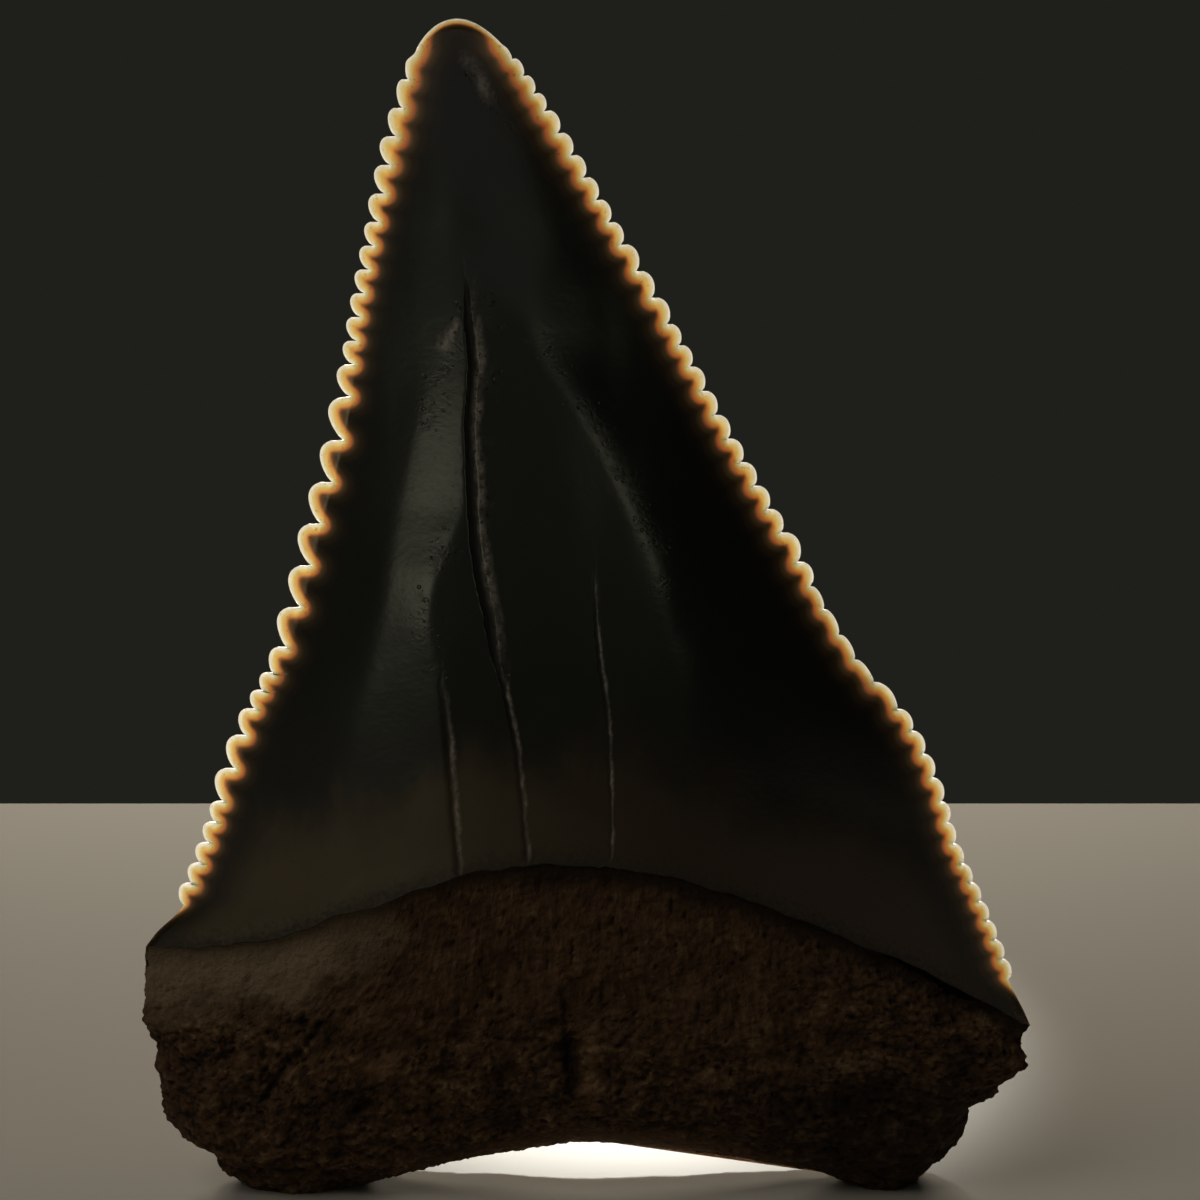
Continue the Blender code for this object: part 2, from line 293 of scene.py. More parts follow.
LEFT_EDGE = CuttingEdge(
    notch_points=(
        (-7.75, 56.0), (-8.15, 54.9), (-9.0, 52.1), (-9.6, 49.3), (-10.4, 45.6), (-11.0, 42.3),
        (-11.6, 38.0), (-12.8, 33.5), (-13.6, 30.2), (-14.5, 27.4), (-15.9, 24.7), (-17.1, 21.3),
        (-18.8, 16.5), (-19.8, 14.5), (-21.2, 12.5),
    ),
    serrations=(
        (6, 1.37), (6, 1.15), (1, 1.55), (6, 2.1), (1, 1.4), (2, 1.0), (1, 1.4),
        (2, 1.75), (5, 1.1),
    ),
    outward=-1,
    lean=0.68,
)
RIGHT_EDGE = CuttingEdge(
    notch_points=(
        (-3.9, 56.4), (-3.35, 55.7), (-2.85, 55.05), (-1.95, 53.6), (-0.1, 50.4), (2.1, 46.4),
        (4.3, 42.5), (6.5, 38.2), (9.9, 32.1), (12.0, 28.4), (13.3, 26.4), (14.5, 25.1),
        (15.9, 22.9), (17.1, 19.9), (17.75, 17.7), (18.95, 15.0), (20.15, 12.0), (20.95, 9.8),
        (21.5, 8.5),
    ),
    serrations=(
        (4, 0.95), (6, 1.2), (3, 1.45), (2, 1.15), (4, 1.3), (3, 1.3), (1, 1.65),
        (2, 1.3), (3, 1.45), (1, 1.8), (4, 1.28), (3, 1.1), (6, 1.05),
    ),
    outward=1,
    notch_cut=0.16,
    worn_runs=((0, 0, 0.7), (24, 28, 0.5), (29, 41, 0.8)),
    lean=0.82,
)


@dataclass(frozen=True)
class Crack:
    """A crack: a dark groove, and to its right a pale lip where the surface has flaked.

    It is fully open between two shares of its path, and closes towards both ends. Without a
    groove it is a spall, a flaked spot alone. Sizes are in mm.
    """

    path: Points
    groove_depth: float
    groove_width: float
    lip_height: float
    lip_width: float
    open_from: float = 0.15
    open_to: float = 0.85

    def relief(self, places: Array, jitter: Array, broken: Array) -> tuple[Array, ...]:
        """What the crack does to the face around it.

        Args:
            places: (x, z) of each place on the face.
            jitter: sideways shift in mm that makes the crack's line uneven.
            broken: noise from -1 to 1 that breaks the lip into flakes.

        Returns:
            The height it adds in mm, and how far each place is groove and lip, from 0 to 1.
        """
        gap, share = beside(places, self.path)
        gap = gap + jitter
        opened = ease(0.0, self.open_from, share) * ease(1.0, self.open_to, share)
        width = self.groove_width * (0.4 + 0.6 * opened)
        groove = bell(gap, width) * np.minimum(1.0, 1.5 * opened)
        lip = bell(gap - width - 0.5 * self.lip_width, 0.5 * self.lip_width) * opened
        lip = lip * (0.3 + 0.7 * ease(-0.5, 0.5, broken))
        return lip * self.lip_height - groove * self.groove_depth * opened, groove, lip


MAIN_CRACK = Crack(
    path=(
        (-5.77, 48.0), (-5.68, 46.4), (-5.51, 44.8), (-5.46, 43.67), (-5.34, 42.53),
        (-5.22, 41.4), (-5.32, 40.1), (-5.44, 38.46), (-5.39, 36.99), (-5.34, 35.68),
        (-5.27, 34.03), (-5.13, 32.37), (-4.85, 30.71), (-4.57, 29.38), (-4.35, 28.04),
        (-4.15, 26.87), (-3.95, 25.69), (-3.9, 24.68),
    ),
    groove_depth=0.12, groove_width=0.15, lip_height=0.012, lip_width=0.5,
    open_from=0.3, open_to=0.8,
)
LOWER_CRACK = Crack(
    path=(
        (-4.17, 27.2), (-3.94, 26.2), (-3.6, 24.51), (-3.36, 23.33), (-3.16, 21.64), (-3.0, 19.6),
        (-2.85, 17.38), (-2.78, 16.86),
    ),
    groove_depth=0.06, groove_width=0.08, lip_height=0.02, lip_width=0.2,
    open_from=0.1, open_to=0.9,
)
LEFT_CRACK = Crack(
    path=(
        (-6.81, 28.2), (-6.79, 25.7), (-6.56, 23.1), (-6.44, 21.0), (-6.33, 19.3), (-6.09, 16.3),
    ),
    groove_depth=0.07, groove_width=0.12, lip_height=0.01, lip_width=0.26,
    open_from=0.5, open_to=0.95,
)
RIGHT_CRACK = Crack(
    path=(
        (0.29, 33.03), (0.39, 30.71), (0.48, 28.88), (0.64, 27.37), (0.89, 25.69), (1.05, 24.01),
        (1.1, 22.32), (1.18, 20.62), (1.18, 18.92), (1.15, 17.03),
    ),
    groove_depth=0.03, groove_width=0.06, lip_height=0.02, lip_width=0.14,
    open_from=0.3, open_to=0.95,
)
CRACKS = (MAIN_CRACK, LOWER_CRACK, LEFT_CRACK, RIGHT_CRACK)
SPALLS = (
    Crack(path=((-5.9, 43.9), (-6.3, 43.5), (-6.9, 42.6), (-7.1, 42.2)),
          groove_depth=0.0, groove_width=0.01, lip_height=0.012, lip_width=0.75,
          open_from=0.2, open_to=0.8),
    Crack(path=((-6.6, 56.2), (-5.6, 55.3), (-4.9, 54.0), (-3.8, 52.6)),
          groove_depth=0.0, groove_width=0.01, lip_height=0.015, lip_width=0.75,
          open_from=0.5, open_to=0.5),
)

# Lines along which small pits break the enamel's gloss: the upper and the lower border of the
# polished panel, the right shoulder, the tip, and the right side of the main crack
PITTED_LINES: Sequence[Points] = (
    ((-5.6, 43.7), (-6.3, 42.0), (-7.1, 40.0), (-7.4, 38.2)),
    ((-5.35, 34.3), (-6.1, 33.2), (-7.0, 32.0), (-7.5, 30.4), (-7.5, 28.7), (-7.2, 26.9)),
    ((-2.1, 42.3), (-0.9, 40.6), (0.9, 37.9), (2.2, 35.0), (3.1, 33.4), (3.9, 31.0)),
    ((-6.2, 55.9), (-5.2, 55.2), (-4.5, 54.0), (-3.4, 52.8)),
    ((-4.6, 44.6), (-4.5, 40.6), (-4.6, 36.5), (-4.5, 33.4)),
)

# Open slits of the root's left side, and the upright ridge in its middle
ROOT_SLITS = (
    Crack(path=((-12.5, 9.4), (-13.0, 8.7), (-13.6, 7.9)),
          groove_depth=0.3, groove_width=0.17, lip_height=0.0, lip_width=0.5),
    Crack(path=((-13.4, 8.2), (-14.4, 7.0), (-15.4, 5.5), (-16.1, 4.7)),
          groove_depth=0.14, groove_width=0.15, lip_height=0.03, lip_width=0.5),
    Crack(path=((-10.2, 5.3), (-11.3, 4.4)),
          groove_depth=0.16, groove_width=0.2, lip_height=0.0, lip_width=0.5),
    Crack(path=((-1.1, 12.0), (-1.05, 10.0), (-0.95, 8.2), (-0.8, 6.4)),
          groove_depth=0.14, groove_width=0.14, lip_height=0.0, lip_width=0.5),
    Crack(path=((-0.9, 8.6), (-0.8, 6.8), (-0.75, 5.4)),
          groove_depth=0.14, groove_width=0.5, lip_height=0.14, lip_width=1.1),
)


@dataclass(frozen=True)
class EnamelLine:
    """The foot of the enamel, where crown and root meet on both faces."""

    points: Points = (
        (-21.2, 12.5), (-16.2, 12.9), (-11.3, 14.6), (-6.5, 16.4), (-2.7, 17.1), (1.4, 17.0),
        (5.5, 16.1), (10.3, 14.2), (15.1, 12.0), (19.0, 9.85), (21.5, 8.5),
    )
    lingual_rise: float = 3.2
    waver: Grain = Grain(0.22, (1.9, 1.9, 1.9), 3.1, 4)
    ledge_points: Points = (
        (-21.2, 0.1), (-15.0, 0.16), (-7.0, 0.2), (-2.0, 0.1), (4.0, 0.1), (10.0, 0.22),
        (15.0, 0.38), (20.0, 0.42), (21.5, 0.15),
    )

    def arch(self, across: Array, left: Array, right: Array, face: Face) -> Array:
        """Height of the line above the straight line between its two corners.

        Args:
            across: shares of the way from the left corner to the right one.
            left: (x, z) of the left corner.
            right: (x, z) of the right corner.
            face: the face that the line runs over.

        Returns:
            The height in mm at each share.
        """
        x = left[0] + across * (right[0] - left[0])
        z = left[1] + across * (right[1] - left[1])
        open_share = 1.0 - (2.0 * across - 1.0) ** 2
        height = value_on(rounded(self.points), x) - z
        if face is Face.LINGUAL:
            height = height + self.lingual_rise * open_share
        flat = np.stack([x, np.full_like(x, face.value * 5.0), np.zeros_like(x)], axis=1)
        return height + self.waver.at(flat) * ease(0.0, 0.12, open_share)

    def ledge(self, x: Array) -> Array:
        """How far the enamel stands proud of the root at a place along the line."""
        return value_on(rounded(self.ledge_points), x)


@dataclass(frozen=True)
class CrownForm:
    """How far the crown's two faces stand from the plane of its cutting edges.

    The labial face has a flat panel in its middle. Two long shoulders bound it, softer near the
    tip, and beside them the face falls away to the cutting edges. Lines are points (z, x).
    """

    tip_share: float = 0.06
    labial_bulge: float = 1.5
    lingual_bulge: float = 6.0
    labial_growth: float = 0.8
    lingual_growth: float = 0.65
    tip_rounding: float = 2.6
    tip_bend: float = -0.6
    left_shoulder: Points = (
        (56.0, -6.1), (50.0, -6.2), (45.0, -5.4), (38.0, -5.4), (35.0, -5.6), (33.2, -6.3),
        (31.2, -7.1), (29.0, -7.4), (26.0, -7.0), (21.0, -6.4), (16.0, -6.1), (12.0, -6.0),
    )
    right_shoulder: Points = (
        (56.0, -5.0), (50.0, -3.9), (46.0, -3.2), (43.8, -2.8), (41.9, -2.1), (39.9, -0.8),
        (37.8, 0.5), (35.0, 1.8), (33.0, 2.8), (31.0, 3.5), (28.7, 4.0), (26.0, 4.6),
        (20.0, 5.4), (12.0, 6.0),
    )
    left_fall: Points = (
        (56.0, -6.9), (50.0, -6.9), (46.0, -6.4), (43.8, -6.4), (41.0, -6.9), (38.4, -7.8),
        (35.2, -8.6), (32.0, -9.3), (29.7, -9.7), (27.5, -10.2), (24.0, -10.8), (20.0, -11.4),
        (12.0, -12.0),
    )
    right_fall: Points = (
        (56.0, -4.2), (50.0, -2.6), (46.0, -2.0), (43.8, -1.8), (41.9, -1.3), (39.9, 0.0),
        (37.8, 1.3), (35.0, 2.6), (33.0, 3.6), (31.0, 4.3), (28.7, 4.8), (26.0, 5.4),
        (20.0, 6.4), (12.0, 7.0),
    )
    shoulder_softness: float = 0.04
    fall_softness: float = 0.12
    tip_softness: float = 0.35
    tip_softens: tuple[float, float] = (43.0, 48.0)
    gentle_share: float = 0.66
    rim_half: float = 0.12
    rim_reach: float = 0.35

    def panel(self, across: Array, z: Array, left: Array, right: Array) -> Array:
        """Height of the labial face over the cutting edges, as a share of its greatest height.

        Args:
            across: shares of the way from the left edge to the right one.
            z: heights in mm.
            left: X of the left edge at each place.
            right: X of the right edge at each place.

        Returns:
            1 on the flat panel, down to 0 at both edges: gently past the shoulders, and more
            steeply past the second pair of lines.
        """
        x = left + across * (right - left)
        width = right - left
        fall = np.zeros_like(x)
        for left_line, right_line, inset, soft, weight in (
            (self.left_shoulder, self.right_shoulder, 0.2, self.shoulder_softness,
             self.gentle_share),
            (self.left_fall, self.right_fall, 0.12, self.fall_softness, 1.0 - self.gentle_share),
        ):
            first = np.maximum(value_on(rounded(left_line)[::-1], z), left + inset * width)
            last = np.minimum(value_on(rounded(right_line)[::-1], z), right - inset * width)
            out = np.maximum((first - x) / (first - left), (x - last) / (right - last))
            blur = soft + self.tip_softness * ease(*self.tip_softens, z)
            ramp = (out + np.sqrt(out**2 + blur**2)) / 2
            ramp_end = (1 + np.sqrt(1 + blur**2)) / 2
            fall += weight * np.clip(ramp / ramp_end, 0.0, 1.0)
        return 1.0 - fall

    def growth(self, sunk: Array, face: Face) -> Array:
        """Greatest depth of a face at a share of the way down from the tip, in mm."""
        grown = self.tip_share + (1.0 - self.tip_share) * sunk
        if face is Face.LABIAL:
            return self.labial_bulge * grown**self.labial_growth
        return self.lingual_bulge * grown**self.lingual_growth

    def bluntness(self, gap: Array) -> Array:
        """Half the thickness in mm that the rounded rim has at a distance in from the edge."""
        share = np.minimum(1.0, gap / self.rim_reach)
        return self.rim_half * np.sqrt(1.0 - (1.0 - share) ** 2)

    def tip_shape(self, fallen: Array) -> Array:
        """Rounding of both faces within the first millimetres below the tip."""
        return (1.0 - (1.0 - np.minimum(1.0, fallen / self.tip_rounding)) ** 2) ** 0.8


def pillow(name: str, columns: Mapping[Face, int], rows: int, notes: Sequence[str],
           shape: Callable[..., tuple[Array, dict[str, Array]]]) -> bpy.types.Mesh:
    """Closed mesh of a front and a back sheet, which meet along their rims.

    Args:
        name: the mesh's name.
        columns: how many columns each face has.
        rows: how many rows both have.
        notes: names of the numbers that shape gives, besides "face".
        shape: gives the places of a face's vertices in mm and their numbers by name, from the
            face, how many columns it has, and each vertex's column and row.

    Returns:
        The mesh, welded, capped at its open end and with all faces outwards.
    """
    mesh = bmesh.new()
    for note in (*notes, "face"):
        mesh.verts.layers.float.new(note)
    for face, count in columns.items():
        verts = bmesh.ops.create_grid(mesh, x_segments=count, y_segments=rows, size=0.5)["verts"]
        flat = np.array([vert.co[:2] for vert in verts])
        column = np.round((flat[:, 0] + 0.5) * count).astype(int)
        row = np.round((0.5 - flat[:, 1]) * rows).astype(int)
        places, numbers = shape(face, count, column, row)
        for vert, place in zip(verts, places):
            vert.co = place
        for note, values in {**numbers, "face": np.full(len(verts), float(face.value))}.items():
            layer = mesh.verts.layers.float[note]
            for vert, value in zip(verts, values):
                vert[layer] = value
    bmesh.ops.remove_doubles(mesh, verts=mesh.verts, dist=WELD_MM)
    rim = [edge for edge in mesh.edges if edge.is_boundary]
    capped = bmesh.ops.holes_fill(mesh, edges=rim, sides=0)
    bmesh.ops.triangulate(mesh, faces=capped["faces"])
    bmesh.ops.recalc_face_normals(mesh, faces=mesh.faces)
    data = bpy.data.meshes.new(name)
    mesh.to_mesh(data)
    mesh.free()
    return data


def read(data: bpy.types.Mesh, name: str) -> Array:
    """Numbers that a mesh holds for its vertices: a noted one, or the places under "co"."""
    if name == "co":
        values = np.zeros(len(data.vertices) * 3)
        data.vertices.foreach_get("co", values)
        return values.reshape(-1, 3)
    values = np.zeros(len(data.vertices))
    data.attributes[name].data.foreach_get("value", values)
    return values


def write(data: bpy.types.Mesh, name: str, values: Array) -> None:
    """Store numbers for a mesh's vertices: a noted one, or the places under "co".

    Args:
        data: the mesh.
        name: what the number is called, or "co".
        values: one number, or one place, to a vertex.
    """
    if name == "co":
        data.vertices.foreach_set("co", values.ravel())
        data.update()
        return
    layer = data.attributes.get(name) or data.attributes.new(name, "FLOAT", "POINT")
    layer.data.foreach_set("value", values)


def swell(data: bpy.types.Mesh, heights: Array) -> None:
    """Raise each vertex of a mesh along its normal.

    Args:
        data: the mesh.
        heights: how far in mm, one number to a vertex.
    """
    normals = np.zeros(len(data.vertices) * 3)
    data.vertices.foreach_get("normal", normals)
    write(data, "co", read(data, "co") + normals.reshape(-1, 3) * heights[:, None])


def finished(name: str, data: bpy.types.Mesh, material: bpy.types.Material) -> bpy.types.Object:
    """Turn a mesh in the drawing's millimetres into a piece in the part's frame.

    Args:
        name: the piece's name.
        data: its mesh.
        material: its finish.

    Returns:
        The piece, at the origin, with its place in its mesh.
    """
    places = read(data, "co") + (0.0, EDGE_PLANE_Y, GROUND_DROP)
    write(data, "co", places * MM)
    data.shade_smooth()
    data.materials.append(material)
    piece = bpy.data.objects.new(name, data)
    bpy.context.scene.collection.objects.link(piece)
    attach(piece, BODY)
    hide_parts(NODE)
    return piece


@dataclass
class EnamelCrown:
    """The crown: a thin-edged blade of enamel, from the tip to the enamel line.

    The steps are the columns' own widths in mm: coarse between the edges and the cracks, and
    finer within the reach of each. The lip rows are the enamel's underside along the root.
    """

    form: CrownForm = field(default_factory=CrownForm)
    foot: EnamelLine = field(default_factory=EnamelLine)
    rows: int = 440
    labial_columns: int = 156
    lingual_columns: int = 64
    tip_rise: float = 1.29
    tip_skew: float = 0.86
    tip_narrowing: float = 8.0
    tip_fade: int = 40
    foot_growth: float = 2.5
    coarse_step: float = 0.75
    edge_step: float = 0.14
    edge_reach: float = 0.9
    blunt_step: float = 0.012
    crack_step: float = 0.13
    crack_reach: float = 0.6
    notch_reach: float = 0.5
    rim_splits: int = 5
    lip_rows: int = 2
    lip_thickness: float = 0.45
    lip_slope: float = 0.35
    tip_points: int = 40
    # Sideways jitter of the cracks, breaks of their lips, patches of pits, and broad waves
    crack_jitter: Grain = Grain(0.06, (0.6, 8.0, 0.55), 5.0, 5)
    flaking: Grain = Grain(1.0, (0.45, 0.6, 1.5), 11.0, 5)
    pit_patches: Grain = Grain(1.0, (0.8, 0.8, 0.8), 4.2)
    waves: Grain = Grain(0.02, (3.4, 3.4, 7.0), 1.7, 2)
    pit_reach: float = 0.5
    tip_glow_height: tuple[float, float] = (55.8, 57.3)
    left: tuple[Array, Array] = field(init=False)
    right: tuple[Array, Array] = field(init=False)

    def __post_init__(self) -> None:
        """Lay out both cutting edges."""
        self.left = LEFT_EDGE.rows(self.rows)
        self.right = RIGHT_EDGE.rows(self.rows)

    def flat_places(self, share: Array, row: Array, face: Face) -> dict[str, Array]:
        """Where places of the crown lie in the plane of its cutting edges.

        Args:
            share: shares of the way from the left edge to the right one.
            row: rows, from 0 at the tip.
            face: the face, because the enamel line differs between them.

        Returns:
            x and z in mm, how far the place has fallen below the tip in mm and as a share, x of
            both edges level with it, and its share of the way between those.
        """
        (left_notch, left_edge), (right_notch, right_edge) = (
            [line[row] for line in side] for side in (self.left, self.right)
        )
        span = np.linalg.norm(right_notch - left_notch, axis=-1)
        near_left = np.exp(-share * span / self.notch_reach) * (1.0 - share)
        near_right = np.exp(-(1.0 - share) * span / self.notch_reach) * share
        flat = left_notch + share[..., None] * (right_notch - left_notch)
        flat = flat + near_left[..., None] * (left_edge - left_notch)
        flat = flat + near_right[..., None] * (right_edge - right_notch)
        left_line, right_line = self.left[0][:, 1], self.right[0][:, 1]
        fallen = (1.0 - share) * (left_line[0] - left_line[row])
        fallen += share * (right_line[0] - right_line[row])
        whole = (1.0 - share) * (left_line[0] - left_line[-1])
        whole += share * (right_line[0] - right_line[-1])
        sunk = fallen / whole
        corners = (self.left[0][-1], self.right[0][-1])
        tip_left, tip_right = self.left[0][0, 0], self.right[0][0, 0]
        over_tip = np.clip((flat[..., 0] - tip_left) / (tip_right - tip_left), 0.0, 1.0)
        over_tip = over_tip**self.tip_skew
        arched = (1.0 - (2.0 * over_tip - 1.0) ** 2) ** (1.0 + self.tip_narrowing * sunk)
        lift = self.tip_rise * arched * (1.0 - sunk) ** self.tip_fade
        lift = lift + self.foot.arch(share, *corners, face) * sunk**self.foot_growth
        left_x, right_x = (
            value_on(side[0][::-1, ::-1], flat[..., 1]) for side in (self.left, self.right)
        )
        right_x = np.maximum(right_x, left_x + 0.1)
        even = np.clip((flat[..., 0] - left_x) / (right_x - left_x), 0.0, 1.0)
        return {
            "x": flat[..., 0], "z": flat[..., 1] + lift, "fallen": fallen, "sunk": sunk,
            "left": left_x, "right": right_x, "even": even,
        }

    def crack_share(self, crack: Crack) -> tuple[Array, Array]:
        """Where a crack crosses each row.

        Args:
            crack: the crack.

        Returns:
            The share of the width for each row, and how near the row is to the crack, 0 to 1.
        """
        line = rounded(crack.path)[::-1]
        row = np.arange(self.rows + 1)
        share = np.full(self.rows + 1, 0.4)
        for _ in range(5):
            flat = self.flat_places(share, row, Face.LABIAL)
            x = value_on(line[:, ::-1], flat["z"])
            share = share + (x - flat["x"]) / (flat["right"] - flat["left"])
            share = np.clip(share, 0.05, 0.95)
        low, high = line[0, 1], line[-1, 1]
        near = ease(low - 4.0, low, flat["z"]) * ease(high + 4.0, high, flat["z"])
        return share, near

    def column_places(self, face: Face, columns: int) -> Array:
        """Where each row's columns run, crowded at the cutting edges and along the cracks.

        Args:
            face: the face that the columns are on. Only the labial one is cracked.
            columns: how many columns it has.

        Returns:
            Shares of the width, one row to a row and one column to a column.
        """
        fine = np.linspace(0.0, 1.0, 1200)
        spans = np.linalg.norm(self.right[0] - self.left[0], axis=1)[:, None]
        from_left, from_right = fine * spans, (1.0 - fine) * spans
        density = 1.0 / self.coarse_step + (
            np.exp(-from_left / self.edge_reach) + np.exp(-from_right / self.edge_reach)
        ) / self.edge_step
        if face is Face.LABIAL:
            for crack in CRACKS:
                share, near = self.crack_share(crack)
                gap = (fine - share[:, None]) * spans
                density += bell(gap, self.crack_reach) / self.crack_step * near[:, None]
        passed = np.cumsum((density[:, 1:] + density[:, :-1]) / 2, axis=1)
        passed = np.concatenate([np.zeros((len(passed), 1)), passed], axis=1)
        wanted = np.linspace(0.0, 1.0, columns + 1)
        places = np.array([np.interp(wanted * row[-1], row, fine) for row in passed])
        places[:, 1] = self.blunt_step / spans[:, 0]
        places[:, -2] = 1.0 - self.blunt_step / spans[:, 0]
        return places

    def depth(self, flat: Mapping[str, Array], face: Face) -> Array:
        """Distance of a face from the plane of the cutting edges, without its sign.

        Args:
            flat: the places, as flat_places gives them.
            face: the face to measure.

        Returns:
            The distance in mm.
        """
        full = self.form.growth(flat["sunk"], face) * self.form.tip_shape(flat["fallen"])
        bluntness = self.form.bluntness(self.rim_distance(flat["x"], flat["z"]))
        if face is Face.LABIAL:
            panel = self.form.panel(flat["even"], flat["z"], flat["left"], flat["right"])
            return full * panel + bluntness
        return full * np.maximum(0.0, 1.0 - (2.0 * flat["even"] - 1.0) ** 2) ** 1.2 + bluntness

    def sheet(self, face: Face, columns: int, column: Array,
              row: Array) -> tuple[Array, dict[str, Array]]:
        """Places of one face's vertices.

        Args:
            face: the face.
            columns: how many columns it has.
            column: each vertex's column.
            row: each vertex's row. Rows past the last one are the enamel's underside.

        Returns:
            The vertices' places in mm, and no numbers.
        """
        under = np.maximum(0, row - self.rows)
        row = np.minimum(row, self.rows)
        share = self.column_places(face, columns)[row, column]
        flat = self.flat_places(share, row, face)
        depths = {side: self.depth(flat, side) for side in Face}
        inset = np.minimum(under * self.lip_thickness / self.lip_rows, 0.8 * depths[face])
        y = self.form.tip_bend * (1.0 - flat["sunk"]) ** 2 + face.value * (depths[face] - inset)
        return np.stack([flat["x"], y, flat["z"] + self.lip_slope * inset], axis=1), {}

    def rim_distance(self, x: Array, z: Array) -> Array:
        """Distance in mm of places from the serrated outline, seen from the front."""
        row = np.arange(self.rows + 1)
        sides = [self.flat_places(np.full(len(row), end), row, Face.LABIAL) for end in (0.0, 1.0)]
        outline = [np.stack([side["x"], side["z"]], axis=1) for side in sides]
        tip_share = np.linspace(0.0, 1.0, self.tip_points)
        tip = self.flat_places(tip_share, np.zeros(self.tip_points, dtype=int), Face.LABIAL)
        outline.append(np.stack([tip["x"], tip["z"]], axis=1))
        tree = kdtree.KDTree(sum(self.rim_splits * (len(line) - 1) for line in outline))
        count = 0
        for line in outline:
            for split in range(self.rim_splits):
                share = split / self.rim_splits
                for place in line[:-1] * (1.0 - share) + line[1:] * share:
                    tree.insert((place[0], 0.0, place[1]), count)
                    count += 1
        tree.balance()
        return np.array([tree.find((across, 0.0, up))[2] for across, up in zip(x, z)])

    def build(self) -> bpy.types.Mesh:
        """The crown's mesh in mm, carved and with its numbers noted."""
        counts = {Face.LABIAL: self.labial_columns, Face.LINGUAL: self.lingual_columns}
        data = pillow("enamel_crown", counts, self.rows + self.lip_rows, (), self.sheet)
        self.carve(data)
        return data

    def glow_distance(self, rim: Array, x: Array, z: Array) -> Array:
        """Distance in from the edge as the light that shines through it sees it.

        Args:
            rim: true distances from the edge in mm.
            x: the places' X.
            z: the places' Z.

        Returns:
            The distances in mm, which set how far the painted glow of the edge reaches: shorter
            where the edge is thin and clear, as towards the tip and on the right, and longer at the
            blunt tip and where the edge's lower end is worn.
        """
        blunt_tip = ease(*self.tip_glow_height, z)
        reach = 1.1 + 0.45 * ease(47.0, 53.0, z) + 0.15 * ease(-2.0, 2.0, x)
        reach *= 1.0 - 0.3 * blunt_tip
        worn_foot = np.where(x < 0.0, ease(15.2, 13.4, z), ease(11.2, 9.4, z))
        return rim / reach + 0.8 * worn_foot + 0.42 * blunt_tip * ease(0.02, 0.14, rim)

    def carve(self, data: bpy.types.Mesh) -> None:
        """Cracks, spalls, faint waves and small pits of the enamel.

        Args:
            data: the crown's mesh, which is changed.
        """
        places = read(data, "co")
        flat, x, z = places[:, (0, 2)], places[:, 0], places[:, 2]
        labial = read(data, "face") < 0.0
        rim = self.rim_distance(x, z)
        jitter, broken = self.crack_jitter.at(places), self.flaking.at(places)
        reliefs = [crack.relief(flat, jitter, broken) for crack in (*CRACKS, *SPALLS)]
        raised, groove, lip = (np.array(share) * labial for share in zip(*reliefs))
        groove, lip = groove.max(axis=0), lip.max(axis=0)
        near = [np.abs(beside(flat, line)[0]) for line in PITTED_LINES]
        patchy = ease(-0.35, 0.3, self.pit_patches.at(places))
        pitted = bell(np.min(near, axis=0), self.pit_reach) * labial * patchy
        foot = value_on(rounded(self.foot.points), x) + self.foot.lingual_rise * ~labial
        # The distance from the edge paints the glow of the light shining through the thin edges
        # into the base colour
        write(data, "inside", self.glow_distance(rim, x, z))
        write(data, "pitted", np.maximum(pitted, lip))
        write(data, "groove", groove)
        write(data, "lip", lip)
        write(data, "above_foot", z - foot)
        swell(data, raised.sum(axis=0) + self.waves.at(places) * ease(0.5, 2.5, rim))


